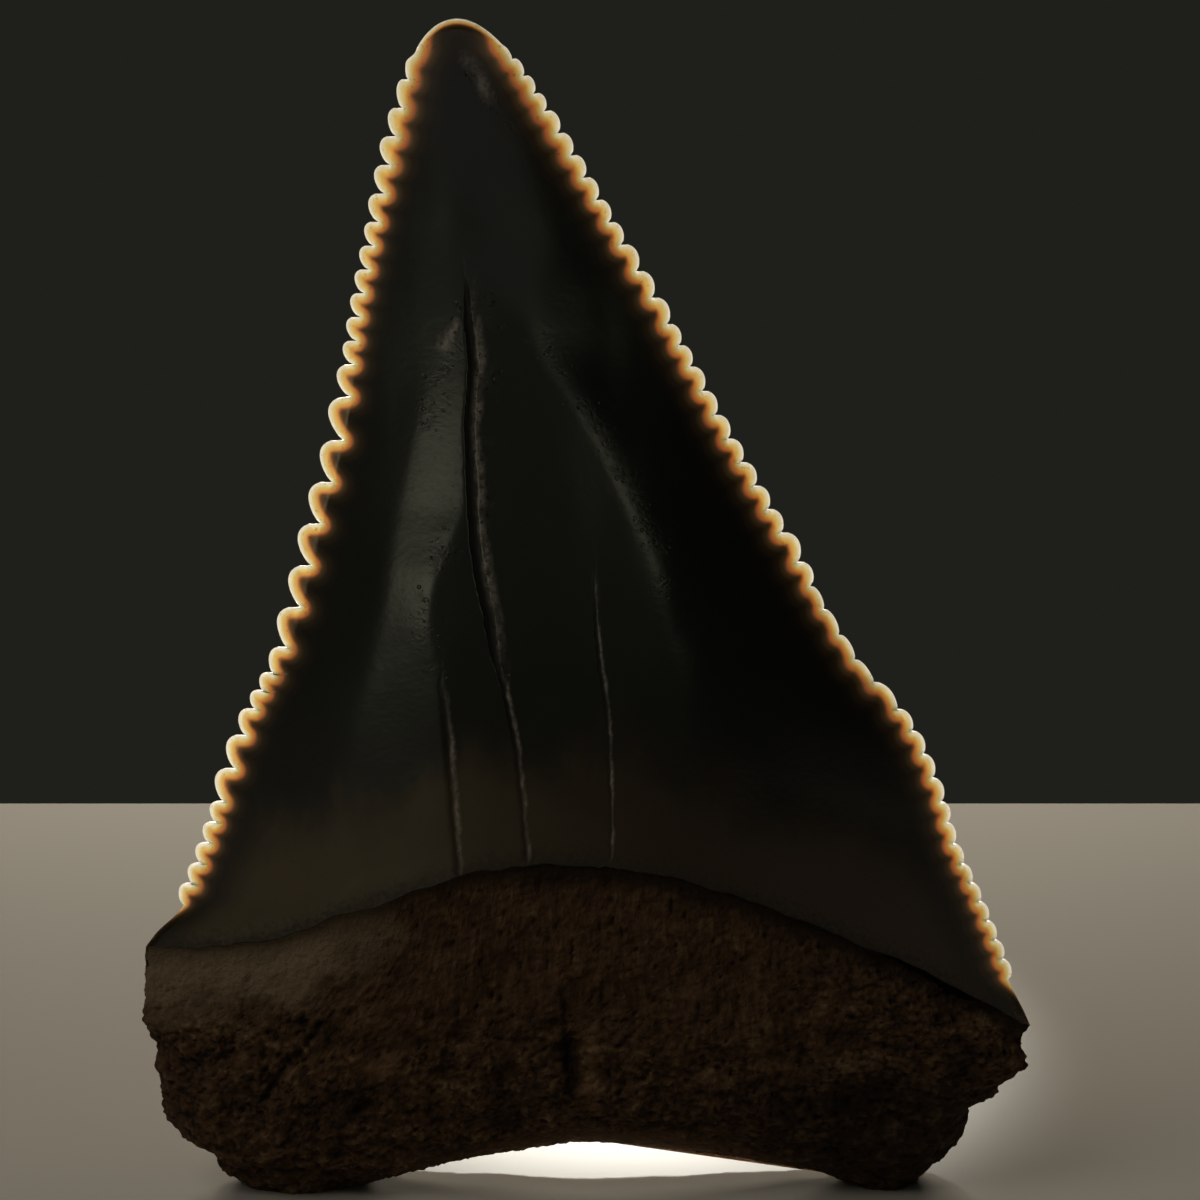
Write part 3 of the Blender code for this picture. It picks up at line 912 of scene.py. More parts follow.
@dataclass(frozen=True)
class RootForm:
    """The root's sides, its arched base and how deep its two faces are.

    The profiles are the faces' depths in mm at shares of the way from the enamel to the base.
    """

    left_side: Points = (
        (-21.2, 12.5), (-21.4, 9.3), (-21.5, 8.6), (-20.9, 7.4), (-20.8, 6.9), (-20.95, 6.2),
        (-20.7, 5.0), (-20.65, 3.7), (-20.3, 3.05), (-19.7, 2.35), (-19.0, 2.05), (-18.3, 1.6),
        (-18.1, 0.65), (-17.5, 0.1),
    )
    right_side: Points = (
        (21.5, 8.5), (21.15, 8.1), (21.15, 7.6), (21.45, 6.3), (20.2, 5.3), (20.05, 4.75),
        (18.8, 4.0), (18.7, 3.0), (18.4, 2.0), (17.3, 1.1), (16.7, 0.2), (16.4, 0.0),
    )
    base: Points = (
        (-17.5, 0.1), (-16.4, -0.25), (-15.2, -1.0), (-13.2, -1.0), (-11.7, -0.45), (-9.7, 0.15),
        (-6.6, 0.95), (-3.5, 1.55), (0.0, 1.98), (3.6, 1.75), (6.8, 1.35), (9.3, 0.8),
        (11.6, 0.3), (12.8, -0.2), (14.0, -1.0), (15.2, -1.0), (15.9, -0.3), (16.4, 0.0),
    )
    ground: float = -0.15
    labial_profile: Points = ((0.0, -1.25), (0.3, -1.7), (0.6, -1.9), (0.85, -1.6), (1.0, -1.2))
    lingual_profile: Points = (
        (0.0, 5.75), (0.14, 5.6), (0.3, 6.3), (0.5, 7.2), (0.7, 7.1), (1.0, 5.8),
    )
    ridge_left: float = 1.6
    ridge_right: float = 2.3
    base_bluntness: float = 9.0
    side_bluntness: Mapping[Face, float] = field(
        default_factory=lambda: {Face.LABIAL: 4.0, Face.LINGUAL: 2.3}
    )
    blend_share: Mapping[Face, float] = field(
        default_factory=lambda: {Face.LABIAL: 0.35, Face.LINGUAL: 0.55}
    )
    lumps: Grain = Grain(0.45, (2.8, 2.8, 2.8), 0.0)

    def middle(self, across: Array, down: Array) -> Array:
        """Surface between the root's two faces, which runs back from the enamel to the base."""
        ridge = self.ridge_left + across * (self.ridge_right - self.ridge_left)
        return ridge * (3.0 - 2.0 * down) * down**2

    def depth(self, across: Array, down: Array, face: Face) -> tuple[Array, Array]:
        """How far a face stands from the root's middle, and how free it is to be lumpy.

        Args:
            across: shares of the way from the left side to the right one.
            down: shares of the way from the enamel to the base.
            face: the face to measure.

        Returns:
            The distance in mm, towards +Y, and the freedom from 0 to 1.
        """
        off = np.abs(2.0 * across - 1.0)
        profile = self.labial_profile if face is Face.LABIAL else self.lingual_profile
        sharp = 1.0 - off**3 if face is Face.LABIAL else (1.0 - off**2) ** 1.2
        blunt = np.sqrt(1.0 - off ** self.side_bluntness[face])
        blend = np.minimum(1.0, down / self.blend_share[face])
        full = (sharp + (blunt - sharp) * blend) * np.sqrt(1.0 - down**self.base_bluntness)
        return (value_on(rounded(profile), down) - self.middle(across, down)) * full, full * blend


@dataclass
class PorousRoot:
    """The root: a worn, porous block with two lobes, under the enamel.

    Its first rows are a stub inside the crown's foot, so that no gap shows along the enamel.
    """

    crown: EnamelCrown
    form: RootForm = field(default_factory=RootForm)
    rows: int = 168
    labial_columns: int = 350
    lingual_columns: int = 210
    stub_rows: int = 4
    stub_rise: float = 0.9
    stub_inset: float = 0.7
    stub_shrink: float = 0.04
    collar_share: float = 0.12
    side_length: float = 13.0
    half_width: float = 21.0
    base_depth: float = 4.5
    side_depth: float = 4.0
    nerve_hole: tuple[float, float] = (0.6, 11.0)
    nerve_hole_radius: float = 1.3
    nerve_hole_depth: float = 0.9
    # Noise that bends the zones' borders, then the relief from coarse to fine, then its breaks
    waver: Grain = Grain(1.0, (2.6, 2.6, 1.6), 6.3)
    knobs: Grain = Grain(0.09, (2.2, 2.2, 1.7), 4.4)
    beads: Grain = Grain(0.1, (0.7, 0.7, 0.55), 7.1, 4)
    grit: Grain = Grain(0.1, (0.28, 0.28, 0.26), 9.9, 2)
    clefts: Grain = Grain(1.0, (1.0, 1.0, 0.7), 12.4)
    slit_jitter: Grain = Grain(0.12, (0.6, 0.6, 0.6), 3.3, 4)
    flaking: Grain = Grain(1.0, (0.8, 0.8, 0.8), 6.6)
    long_slits: Holes = Holes(
        (0.3, 1.2, 1.9), depth=0.16, kept=0.6, seed=1.3, rim=0.36, floor=0.1, full_share=0.7,
    )
    short_slits: Holes = Holes(
        (0.26, 1.0, 0.75), depth=0.16, kept=0.5, seed=5.9, rim=0.36, floor=0.1, full_share=0.7,
    )
    pores: Sequence[Holes] = (
        Holes((1.3, 1.3, 1.04), depth=0.26, kept=0.1, seed=2.2),
        Holes((0.6, 0.6, 0.48), depth=0.16, kept=0.35, seed=8.7),
    )

    def sheet(self, face: Face, columns: int, column: Array,
              row: Array) -> tuple[Array, dict[str, Array]]:
        """Places of one face's vertices.

        Args:
            face: the face.
            columns: how many columns it has.
            column: each vertex's column.
            row: each vertex's row. The first ones are the stub inside the crown's foot.

        Returns:
            The vertices' places in mm, and their shares of the way down to the base by name.
        """
        form = self.form
        lift = np.maximum(0, self.stub_rows - row) / self.stub_rows
        down = evenly(lambda d: np.sqrt(1.0 - d**form.base_bluntness),
                      self.side_length, self.base_depth, self.rows)
        down = down[np.maximum(0, row - self.stub_rows)]
        blunt = form.side_bluntness[face]
        half = evenly(lambda d: np.sqrt(1.0 - d**blunt),
                      self.half_width, self.side_depth, columns // 2)
        across = np.concatenate([0.5 - half[::-1] / 2, 0.5 + half[1:] / 2])[column]
        left_line, right_line = np.array(form.left_side), np.array(form.right_side)
        left = walk(left_line, down * lengths_along(left_line)[-1])
        right = walk(right_line, down * lengths_along(right_line)[-1])
        place = left + across[:, None] * (right - left)
        corners = (left_line[0], right_line[0])
        base_left, base_right = left_line[-1], right_line[-1]
        base_place = base_left + across[:, None] * (base_right - base_left)
        base_arch = value_on(rounded(form.base), base_place[:, 0]) - base_place[:, 1]
        place[:, 1] += (1.0 - down) * self.crown.foot.arch(across, *corners, face)
        place[:, 1] += down * base_arch
        depth, freedom = form.depth(across, down, face)
        last_row = np.full(len(across), self.crown.rows)
        flat = self.crown.flat_places(across, last_row, face)
        enamel_depth = self.crown.depth(flat, face)
        collar = face.value * np.maximum(
            0.0, enamel_depth - self.crown.foot.ledge(place[:, 0]) * ease(0.0, 0.1, enamel_depth)
        )
        near = ease(self.collar_share, 0.0, down)
        depth = depth + near * (collar - depth)
        lump = self.lump(place, face) * freedom * face.value
        y = form.middle(across, down) + depth + lump
        x = place[:, 0] * (1.0 - self.stub_shrink * lift)
        y = y - face.value * lift * np.minimum(self.stub_inset, 0.6 * np.abs(depth))
        z = np.maximum(place[:, 1] + self.stub_rise * lift, form.ground)
        return np.stack([x, y, z], axis=1), {"down": down}

    def lump(self, place: Array, face: Face) -> Array:
        """Height of the root's lumps at (x, z) places on one of its faces."""
        lumps = self.form.lumps
        apart = np.full(len(place), face.value * lumps.size[1] * 3)
        return lumps.at(np.stack([place[:, 0], apart, place[:, 1]], axis=1))

    def build(self) -> bpy.types.Mesh:
        """The root's mesh in mm, carved and with its numbers noted."""
        counts = {Face.LABIAL: self.labial_columns, Face.LINGUAL: self.lingual_columns}
        data = pillow("porous_root", counts, self.rows + self.stub_rows, ("down",), self.sheet)
        self.carve(data)
        return data

    def zones(self, places: Array, labial: Array) -> dict[str, Array]:
        """How far each place belongs to each kind of surface of the root, from 0 to 1.

        Args:
            places: the places in mm.
            labial: whether each place is on the labial face.

        Returns:
            Shares for the worn band under the enamel, the painted shade of the enamel's ledge along
            it, the striated middle, the worn rim over the arch, the bruises and the dark, rough
            lower corner.
        """
        x, z = places[:, 0], places[:, 2]
        # The borders are in mm, each faded between two given places
        below = value_on(rounded(self.crown.foot.points), x) - z
        waver = self.waver.at(places)
        front = np.where(labial, 1.0, 0.0)
        base = value_on(rounded(self.form.base), x)
        scar = bell(np.hypot((x + 10.1) / 1.1, (z - 7.0 - 0.4 * waver) / 0.4), 1.0)
        ridge = bell(x - 0.3 - 0.3 * waver, 0.4) * ease(9.8, 8.8, z) * ease(4.2, 5.6, z)
        to_left, to_top = ease(-7.0, -14.5, x + 1.5 * waver), ease(4.4, 1.4, below + 0.8 * waver)
        shade_under_enamel = ease(1.5, 0.2, below + 0.4 * waver)
        return {
            "band": front * to_left * to_top,
            # Painted shade just under the overhanging foot of the enamel
            "line": front * shade_under_enamel * (0.45 + 0.55 * ease(-9.0, -2.0, x)),
            "streaked": ease(-15.0, -8.0, x) * ease(15.0, 7.0, x) * ease(9.5, 5.5, below + waver),
            "rim": ease(1.7, 0.7, z - base + 0.4 * waver) * bell(x - 1.5, 8.5),
            "bruised": front * np.maximum(scar, 0.8 * ridge),
            "dark": front * ease(4.0, 13.0, x) * ease(8.0, 4.5, z + 1.2 * waver),
        }

    def upright(self, places: Array) -> Array:
        """X of each place once the lean of the root's grain is taken out."""
        x, z = places[:, 0], places[:, 2]
        lean = 0.75 * ease(-3.0, -13.0, x) - 0.25 * ease(4.0, 14.0, x)
        return x - lean * (z - 9.0)

    def carve(self, data: bpy.types.Mesh) -> None:
        """Lumps, pores, slits and the nerve hole of the root.

        Args:
            data: the root's mesh, which is changed.
        """
        places = read(data, "co")
        down = read(data, "down")
        labial = read(data, "face") < 0.0
        zones = self.zones(places, labial)
        # Worn and striated zones keep less of the lumps and pores than the rest
        rough = 1.0 - 0.65 * zones["band"] - 0.5 * zones["streaked"] - 0.6 * zones["rim"]
        rough = np.clip(rough, 0.15, 1.0)
        height = self.knobs.at(places) * (0.4 + 0.6 * rough)
        height += self.beads.at(places) * rough
        height += self.grit.at(places) * (0.5 + 0.5 * rough)
        height -= 0.1 * bell(self.clefts.at(places), 0.07) * rough
        along = np.stack([self.upright(places), places[:, 1], places[:, 2]], axis=1)
        long_slits = self.long_slits.at(along) * zones["streaked"]
        short_slits = self.short_slits.at(along) * (1.0 - 0.7 * zones["band"])
        height -= np.maximum(long_slits, short_slits)
        for pores in self.pores:
            height -= pores.at(places) * np.clip(rough - 0.15, 0.0, 1.0)
        jitter, broken = self.slit_jitter.at(places), self.flaking.at(places)
        for slit in ROOT_SLITS:
            raised, *_ = slit.relief(places[:, (0, 2)], jitter, broken)
            height += np.where(labial, raised, 0.0)
        spread = np.hypot(places[:, 0] - self.nerve_hole[0], places[:, 2] - self.nerve_hole[1])
        hole = ease(self.nerve_hole_radius, 0.35 * self.nerve_hole_radius, spread)
        height -= np.where(labial, 0.0, self.nerve_hole_depth * hole)
        on_ground = places[:, 2] <= self.form.ground + 1e-4
        height = np.where(on_ground, 0.0, height * ease(0.0, 0.06, down))
        write(data, "relief", height)
        write(data, "upright", self.upright(places) * MM)
        for zone, share in zones.items():
            write(data, zone, share)
        swell(data, height)
        # The relief doesn't lift the worn flats off the ground or sink them into it
        places = read(data, "co")
        places[:, 2] = np.maximum(places[:, 2], self.form.ground)
        write(data, "co", places)


def linear(code: str) -> tuple[float, float, float, float]:
    """Linear colour of an sRGB hex value such as "#3a2c1e"."""
    parts = [int(code[i:i + 2], 16) / 255 for i in (1, 3, 5)]
    return *(c / 12.92 if c <= 0.04045 else ((c + 0.055) / 1.055) ** 2.4 for c in parts), 1.0


def set_up(tree: Tree, node: bpy.types.Node, settings: Mapping[Any, Any],
           links: Mapping[Any, Source]) -> bpy.types.Node:
    """Give a node its values and link what feeds it.

    Args:
        tree: the material's node tree.
        node: the node.
        settings: the node's properties and the values of its inputs, by name or number, and
            under "stops" the places and hex colours of a ramp.
        links: what feeds the inputs, by their name or number: an output of another node, or a
            node for its first output.

    Returns:
        The node.
    """
    for name, value in settings.items():
        if name == "stops":
            while len(node.color_ramp.elements) < len(value):
                node.color_ramp.elements.new(1.0)
            for stop, (position, code) in zip(node.color_ramp.elements, value):
                stop.position = position
                stop.color = linear(code)
        elif isinstance(name, str) and name in node.bl_rna.properties:
            setattr(node, name, value)
        else:
            node.inputs[name].default_value = value
    for name, source in links.items():
        output = source.outputs[0] if isinstance(source, bpy.types.Node) else source
        tree.links.new(output, node.inputs[name])
    return node


def add_node(tree: Tree, kind: str, settings: Mapping[Any, Any] | None = None,
             links: Mapping[Any, Source] | None = None) -> bpy.types.Node:
    """Add a node, of a kind without "ShaderNode", with its settings and links as in set_up."""
    return set_up(tree, tree.nodes.new("ShaderNode" + kind), settings or {}, links or {})


def blank(name: str) -> tuple[bpy.types.Material, Tree, bpy.types.Node]:
    """New material with its tree and its Principled shader."""
    material = bpy.data.materials.new(name)
    material.use_nodes = True
    return material, material.node_tree, material.node_tree.nodes["Principled BSDF"]


def lay_over(tree: Tree, share: Source, under: Source, over: str) -> bpy.types.NodeSocket:
    """Colour laid over another one, as far as a share from 0 to 1 says."""
    settings = {"data_type": "RGBA", 7: linear(over)}
    return add_node(tree, "Mix", settings, {0: share, 6: under}).outputs[2]


def noted(tree: Tree, name: str, low: float = 0.0, high: float = 1.0,
          most: float = 1.0) -> bpy.types.Node:
    """Share from 0 to most of a number that the mesh holds, between two of its values."""
    held = add_node(tree, "Attribute", {"attribute_name": name}).outputs["Fac"]
    settings = {"From Min": low, "From Max": high, "To Max": most}
    return add_node(tree, "MapRange", settings, {0: held})


@dataclass(frozen=True)
class FossilEnameloid:
    """Mineralised fluorapatite enamel: glossy, near black where thick, amber where thin.

    Light from behind shines through the serrated edges, and they scatter. Their base colour
    follows the distance in from the edge and carries a painted glow, near white at the rim and
    amber further in, over the thin enamel's own amber. The gloss mirrors the room on the
    polished panel.
    """

    ior: float = 1.62
    gloss: float = 0.17
    dullness: float = 0.7
    scatter_mm: float = 0.6
    scatter_colours: tuple[float, float, float] = (1.0, 0.98, 0.94)
    scatter_reach_mm: tuple[float, float] = (1.7, 0.6)
    # Colour from the edge, at 0, to edge_glow_mm inside it, at 1: a painted glow, near white to
    # amber, then the enamel's own near black. The stained zones start further in
    edge_glow_mm: float = 1.6
    edge_tint_and_glow_stops: Sequence[tuple[float, str]] = (
        (0.0, "#fff5e4"), (0.07, "#ffeccc"), (0.15, "#fbdba8"), (0.24, "#edc591"),
        (0.33, "#9c7c52"), (0.45, "#574329"), (0.62, "#2e2317"), (0.8, "#16120b"),
        (1.0, "#0d0e0b"),
    )
    inner_mm: tuple[float, float] = (0.9, 2.4)
    # Brown zone over the root, clouded at its upper border and tan towards the left
    brown: str = "#38250d"
    tan: str = "#5c5037"
    foot_mm: tuple[float, float] = (9.0, 1.0)
    cloud_mm: float = 3.5
    tan_mm: tuple[float, float] = (4.0, -9.0)
    # Pale flakes, dark grooves, and a painted shade: a dark grey-brown band along the enamel's
    # foot, just over the root
    flake: str = "#b5a89c"
    groove: str = "#060503"
    seam_shade: str = "#1c130a"
    seam_shade_mm: float = 1.2
    # Etching of the enamel. The real grit and pits are finer than 0.1 mm, too fine to show at a
    # step's distance, so they are drawn two to three times as coarse
    grit_mm: float = 0.22
    grit_relief_mm: float = 0.015
    pit_mm: float = 0.3
    pit_relief_mm: float = 0.04
    ripple_mm: float = 0.3
    ripple_relief_mm: float = 0.0025

    def foot_share(self, tree: Tree, place: Source) -> bpy.types.Node:
        """Share of the brown zone over the enamel line, with an uneven upper border."""
        stretched = add_node(tree, "Mapping", {"Scale": (1.0, 1.0, 0.45)}, {0: place})
        settings = {"Scale": 1.0 / (self.cloud_mm * MM), "Detail": 4.0, "Roughness": 0.6}
        cloud = add_node(tree, "TexNoise", settings, {"Vector": stretched})
        near = noted(tree, "above_foot", *self.foot_mm)
        shifted = add_node(tree, "Math", {"operation": "MULTIPLY_ADD", 1: 1.1}, {0: cloud, 2: near})
        settings = {"From Min": 0.75, "From Max": 1.35, "interpolation_type": "SMOOTHSTEP"}
        return add_node(tree, "MapRange", settings, {0: shifted})

    def pits(self, tree: Tree, place: Source) -> bpy.types.Node:
        """Share from 0 to 1 of round pits, each in its own cell and of its own size."""
        dots = add_node(tree, "TexVoronoi", {"Scale": 1.0 / (self.pit_mm * MM)}, {"Vector": place})
        number = add_node(tree, "SeparateXYZ", {}, {0: dots.outputs["Color"]})
        size = add_node(tree, "Math", {"operation": "MULTIPLY_ADD", 1: 0.6, 2: -0.15}, {0: number})
        deep = add_node(tree, "Math", {"operation": "SUBTRACT"}, {0: size, 1: dots})
        return add_node(tree, "MapRange", {"From Max": 0.12}, {0: deep})

    def build(self) -> bpy.types.Material:
        """The finish as a material."""
        material, tree, shader = blank("fossil_enameloid")
        add = partial(add_node, tree)
        times = {"operation": "MULTIPLY"}
        place = add("TexCoord").outputs["Object"]
        inner = noted(tree, "inside", *self.inner_mm)
        pitted = noted(tree, "pitted")
        pits = add("Math", times, {0: self.pits(tree, place), 1: inner})
        settings = {"Scale": 1.0 / (self.grit_mm * MM), "Detail": 3.0, "Roughness": 0.65}
        grit = add("TexNoise", settings, {"Vector": place})
        flecks = add("MapRange", {"From Min": 0.4, "From Max": 0.6, "To Min": 0.4}, {0: grit})
        # Painted shade along the enamel's foot, with a border broken by the grit
        near_root = noted(tree, "above_foot", self.seam_shade_mm, 0.0)
        fringe = add("Math", {"operation": "MULTIPLY_ADD", 1: 2.6}, {0: grit, 2: near_root})
        fringe = add("MapRange", {"From Min": 1.6, "From Max": 2.3, "To Max": 0.85}, {0: fringe})
        foot = add("Math", times, {0: self.foot_share(tree, place), 1: inner})
        across = add("SeparateXYZ", {}, {0: place})
        start, end = (edge * MM for edge in self.tan_mm)
        left = add("MapRange", {"From Min": start, "From Max": end}, {0: across})
        # Painted glow: the ramp lights the thin edges near white to amber by their distance in from
        # the edge
        depth = noted(tree, "inside", 0.0, self.edge_glow_mm)
        colour = add("ValToRGB", {"stops": self.edge_tint_and_glow_stops}, {0: depth})
        for share, over in (
            (foot, self.brown),
            (add("Math", times, {0: left, 1: foot}), self.tan),
            (noted(tree, "groove", 0.2, 1.4), self.groove),
            (add("Math", times, {0: flecks, 1: noted(tree, "lip", 0.1, 1.2)}), self.flake),
            (add("Math", times, {0: pits, 1: pitted}), self.groove),
            (fringe, self.seam_shade),
        ):
            colour = lay_over(tree, share, colour, over)
        bump = add("Bump", {"Distance": self.grit_relief_mm * MM},
                   {"Height": grit, "Strength": pitted})
        bump = add("Bump", {"Distance": self.pit_relief_mm * MM, "invert": True},
                   {"Height": pits, "Strength": pitted, "Normal": bump})
        settings = {"Scale": 1.0 / (self.ripple_mm * MM), "Detail": 3.0}
        ripple = add("TexNoise", settings, {"Vector": place})
        bump = add("Bump", {"Strength": 1.0, "Distance": self.ripple_relief_mm * MM},
                   {"Height": ripple, "Normal": bump})
        worn = add("Math", {"operation": "MULTIPLY_ADD", 1: 0.3},
                   {0: fringe, 2: noted(tree, "groove", 0.1, 0.8)})
        rough = add("MapRange", {"To Min": self.gloss, "To Max": self.dullness}, {0: worn})
        glow = noted(tree, "inside", *self.scatter_reach_mm)
        set_up(tree, shader, {
            "IOR": self.ior,
            "Subsurface Radius": self.scatter_colours,
            "Subsurface Scale": self.scatter_mm * MM,
        }, {"Base Color": colour, "Normal": bump, "Roughness": rough, "Subsurface Weight": glow})
        return material


@dataclass(frozen=True)
class FossilDentine:
    """Mineralised osteodentine: matt umber, darker in its pores and paler where it is worn.

    The colour follows the relief, a painted shade in each pore and a painted highlight on each
    lump so that they read, and each zone that the mesh holds is stained over it.
    """

    ior: float = 1.55
    dullness: float = 0.8
    specular: float = 0.25
    relief_mm: tuple[float, float] = (-0.3, 0.16)
    tones_with_relief_shade: Sequence[tuple[float, str]] = (
        (0.0, "#0e0906"), (0.35, "#2f2012"), (0.62, "#523a25"), (0.8, "#6a5036"), (1.0, "#8c7355"),
    )
    # Zone, how strongly it is stained, and with what, from the first stain to the last. The zone
    # called line is painted shade under the enamel's ledge, not a stain
    stains: Sequence[tuple[str, float, str]] = (
        ("streaked", 0.3, "#5a4028"), ("dark", 0.6, "#1d130f"), ("band", 0.8, "#9a866b"),
        ("rim", 0.4, "#7c6247"), ("bruised", 0.7, "#8d6a48"), ("line", 0.8, "#120c07"),
    )
    # Fibres stand upright in the striated zone, and specks take their place in the others. Bone
    # fibres are about 0.1 mm wide, and drawn three times as coarse so that they show
    speck_mm: float = 0.32
    fibre_mm: float = 0.3
    fibre_stretch: float = 0.28
    speck_relief_mm: float = 0.1
    grit_mm: float = 0.22
    grit_relief_mm: float = 0.12

    def build(self) -> bpy.types.Material:
        """The finish as a material."""
        material, tree, shader = blank("fossil_osteodentine")
        add = partial(add_node, tree)
        place = add("TexCoord").outputs["Object"]
        settings = {"Scale": 1.0 / (self.speck_mm * MM), "Detail": 5.0, "Roughness": 0.7}
        speck = add("TexNoise", settings, {"Vector": place})
        parts = add("SeparateXYZ", {}, {0: place}).outputs
        upright = add("Attribute", {"attribute_name": "upright"}).outputs["Fac"]
        along = add("CombineXYZ", {}, {0: upright, 1: parts[1], 2: parts[2]})
        along = add("Mapping", {"Scale": (1.0, 1.0, self.fibre_stretch)}, {0: along})
        settings = {"Scale": 1.0 / (self.fibre_mm * MM), "Detail": 2.0, "Roughness": 0.6}
        fibre = add("TexNoise", settings, {"Vector": along})
        settings = {"data_type": "FLOAT", "clamp_factor": True}
        speck = add("Mix", settings, {0: noted(tree, "streaked"), 2: speck, 3: fibre})
        # Painted shade and highlight: darker the deeper a place lies in the relief, paler the
        # higher
        height = noted(tree, "relief", *self.relief_mm)
        tone = add("Math", {"operation": "MULTIPLY_ADD", 1: 0.8}, {0: speck, 2: height})
        tone = add("Math", {"operation": "SUBTRACT", 1: 0.4}, {0: tone})
        colour = add("ValToRGB", {"stops": self.tones_with_relief_shade}, {0: tone})
        for zone, strength, stain in self.stains:
            colour = lay_over(tree, noted(tree, zone, most=strength), colour, stain)
        settings = {"Scale": 1.0 / (self.grit_mm * MM), "Detail": 3.0}
        grit = add("TexNoise", settings, {"Vector": place})
        settings = {"Strength": 1.0, "Distance": self.grit_relief_mm * MM}
        bump = add("Bump", settings, {"Height": grit})
        bump = add("Bump", {"Strength": 1.0, "Distance": self.speck_relief_mm * MM},
                   {"Height": speck, "Normal": bump})
        set_up(tree, shader, {
            "IOR": self.ior, "Roughness": self.dullness, "Specular IOR Level": self.specular,
        }, {"Base Color": colour, "Normal": bump})
        return material


@dataclass(frozen=True)
class SoftBox:
    """A soft box that faces the tooth: its middle and its width and height in mm, and its watts."""

    name: str
    place: tuple[float, float, float]
    size: tuple[float, float]
    watts: float
    colour: str


# The back boxes shine through the crown's edges. The small ones in front are what the polished
# enamel mirrors: the panel left of the main crack, the whole foot, the right shoulder, the tip
SOFT_BOXES = (
    SoftBox("back_box", (0.0, 200.0, -2.0), (90.0, 70.0), 0.9, "#fff2e0"),
    SoftBox("high_back_box", (-6.0, 200.0, 110.0), (80.0, 40.0), 0.14, "#fff2e0"),
    SoftBox("fill_box", (-150.0, -90.0, 240.0), (160.0, 160.0), 0.11, "#fff4e8"),
    SoftBox("left_strip", (-36.0, -130.0, 6.7), (18.0, 13.2), 0.0011, "#f0f2cc"),
    SoftBox("low_glow", (-34.0, -130.0, 9.0), (92.0, 30.0), 0.0005, "#f2f2d8"),
    SoftBox("right_strip", (17.0, -130.0, 15.0), (14.0, 13.0), 0.0005, "#f0f2cc"),
    SoftBox("upper_glow", (-16.0, -130.0, 42.0), (64.0, 36.0), 0.0011, "#f4f2e6"),
)


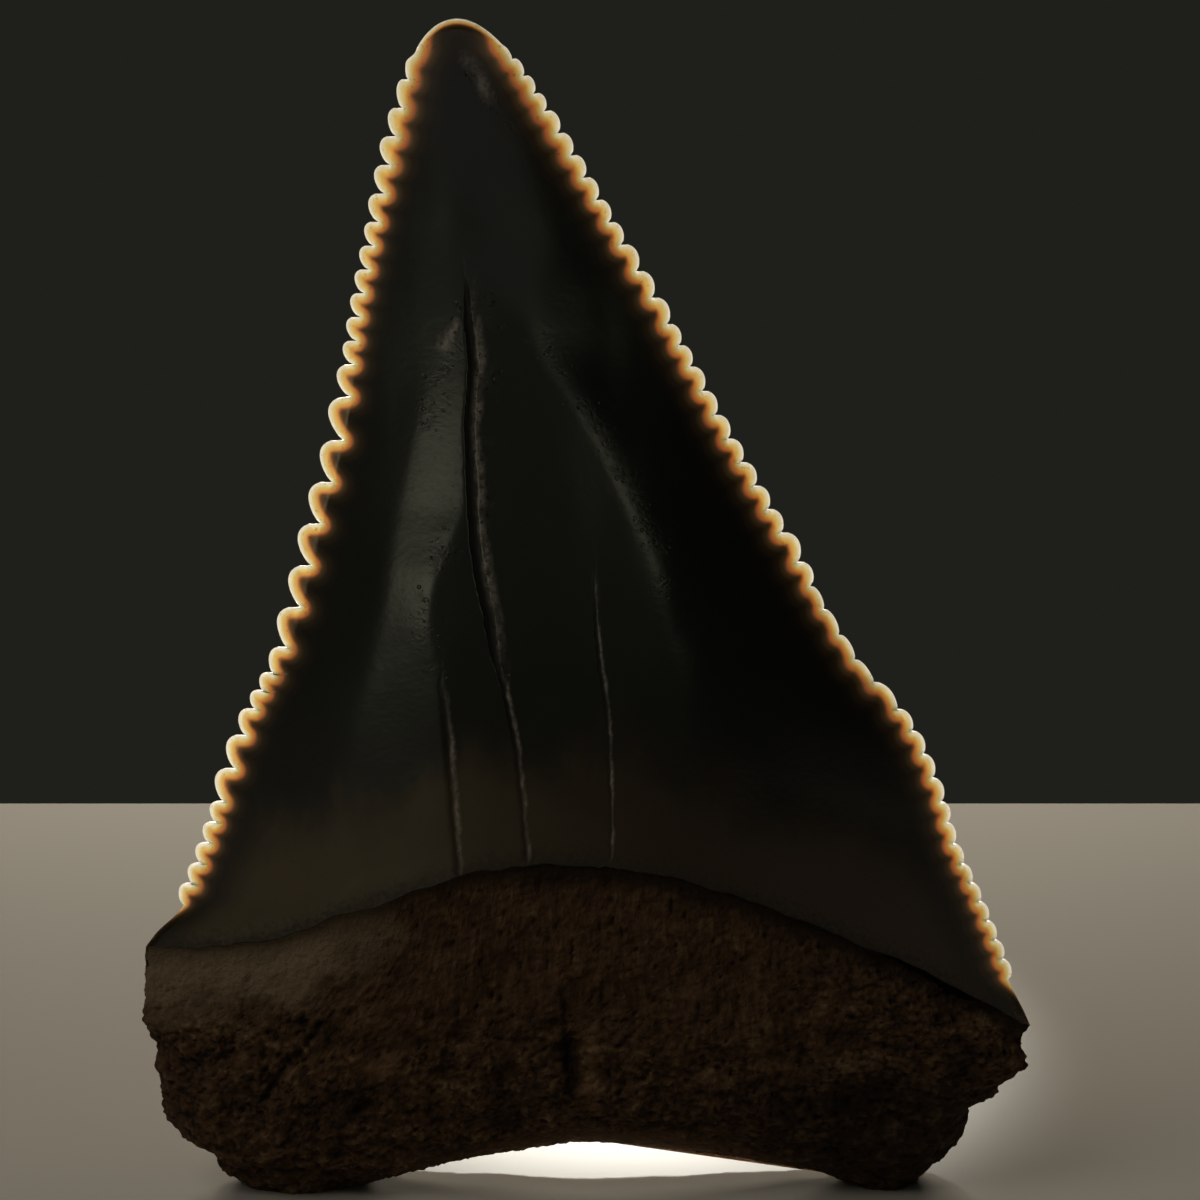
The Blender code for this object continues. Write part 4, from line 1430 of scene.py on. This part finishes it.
@dataclass
class Studio:
    """Pale floor, soft light and the camera of the photograph. Places are in mm."""

    aim: tuple[float, float, float] = (0.684, EDGE_PLANE_Y, 29.95)
    elevation: float = 15.0
    distance: float = 236.4
    lens: float = 150.0
    sensor: float = 36.0
    floor_half_width: float = 200.0
    floor_back: float = 61.0
    floor_front: float = 95.0
    floor_colour: str = "#bab8b0"
    room_colour: str = "#1f201b"
    pool_lamp: tuple[float, float, float] = (0.0, 150.0, 160.0)
    pool: tuple[float, float, float] = (2.0, 20.0, 0.0)
    pool_watts: float = 15.5
    pool_angle: float = 9.0
    pool_lamp_radius: float = 10.0

    def add_floor(self) -> None:
        """A level, pale, matt floor that ends a little behind the tooth."""
        mesh = bmesh.new()
        made = bmesh.ops.create_grid(mesh, x_segments=1, y_segments=1, size=1.0)
        depth = (self.floor_back + self.floor_front) / 2
        bmesh.ops.scale(mesh, verts=made["verts"], vec=(self.floor_half_width * MM, depth * MM, 1))
        shift = (0.0, (self.floor_back - self.floor_front) / 2 * MM, 0.0)
        bmesh.ops.translate(mesh, verts=made["verts"], vec=shift)
        data = bpy.data.meshes.new("floor")
        mesh.to_mesh(data)
        mesh.free()
        material, tree, shader = blank("pale_matt_paper")
        finish = {"Base Color": linear(self.floor_colour), "Roughness": 1.0,
                  "Specular IOR Level": 0.1}
        set_up(tree, shader, finish, {})
        data.materials.append(material)
        floor = bpy.data.objects.new("floor", data)
        bpy.context.scene.collection.objects.link(floor)

    def hang(self, data: bpy.types.Light, place: Sequence[float],
             target: Sequence[float]) -> None:
        """Hang a light where the camera doesn't see it.

        Args:
            data: the light.
            place: where it hangs.
            target: what it points at.
        """
        lamp = bpy.data.objects.new(data.name, data)
        lamp.location = Vector(place) * MM
        lamp.rotation_euler = (Vector(target) - Vector(place)).to_track_quat("-Z", "Y").to_euler()
        lamp.visible_camera = False
        bpy.context.scene.collection.objects.link(lamp)

    def add_soft_box(self, box: SoftBox) -> None:
        """Hang a soft box, turned to the tooth."""
        data = bpy.data.lights.new(box.name, "AREA")
        data.shape = "RECTANGLE"
        data.size, data.size_y = (side * MM for side in box.size)
        data.energy = box.watts
        data.color = linear(box.colour)[:3]
        self.hang(data, box.place, self.aim)

    def add_pool(self) -> None:
        """A soft round light on the floor behind the tooth, which shows through the root's arch."""
        data = bpy.data.lights.new("arch_pool", "SPOT")
        data.spot_size = math.radians(self.pool_angle)
        data.spot_blend = 1.0
        data.shadow_soft_size = self.pool_lamp_radius * MM
        data.energy = self.pool_watts
        self.hang(data, self.pool_lamp, self.pool)

    def add_world(self) -> None:
        """Dim, even light from all round, which is also what shows behind the floor."""
        world = bpy.data.worlds.new("dim_room")
        world.use_nodes = True
        world.node_tree.nodes["Background"].inputs[0].default_value = linear(self.room_colour)
        world.node_tree.nodes["Background"].inputs[1].default_value = 1.0
        bpy.context.scene.world = world

    def add_camera(self) -> None:
        """The photograph's view of the tooth."""
        data = bpy.data.cameras.new("camera")
        data.lens, data.sensor_width = self.lens, self.sensor
        data.clip_start, data.clip_end = 0.01, 10.0
        camera = bpy.data.objects.new("camera", data)
        tilt = math.radians(self.elevation)
        back = Vector((0.0, -math.cos(tilt), math.sin(tilt)))
        camera.location = (Vector(self.aim) + back * self.distance) * MM
        camera.rotation_euler = (math.radians(90.0) - tilt, 0.0, 0.0)
        bpy.context.scene.collection.objects.link(camera)
        bpy.context.scene.camera = camera

    def build(self) -> None:
        """Set the whole studio up."""
        self.add_floor()
        self.add_world()
        for box in SOFT_BOXES:
            self.add_soft_box(box)
        self.add_pool()
        self.add_camera()


def main() -> None:
    """Build the studio and the tooth's pieces."""
    logging.basicConfig(level=logging.INFO)
    bpy.context.scene.view_settings.view_transform = "Standard"
    Studio().build()
    crown = EnamelCrown()
    pieces = [
        finished("enamel_crown", crown.build(), FossilEnameloid().build()),
        finished("porous_root", PorousRoot(crown).build(), FossilDentine().build()),
    ]
    for piece in pieces:
        log.info("%s: %d faces", piece.name, len(piece.data.polygons))


if __name__ == "__main__":
    main()
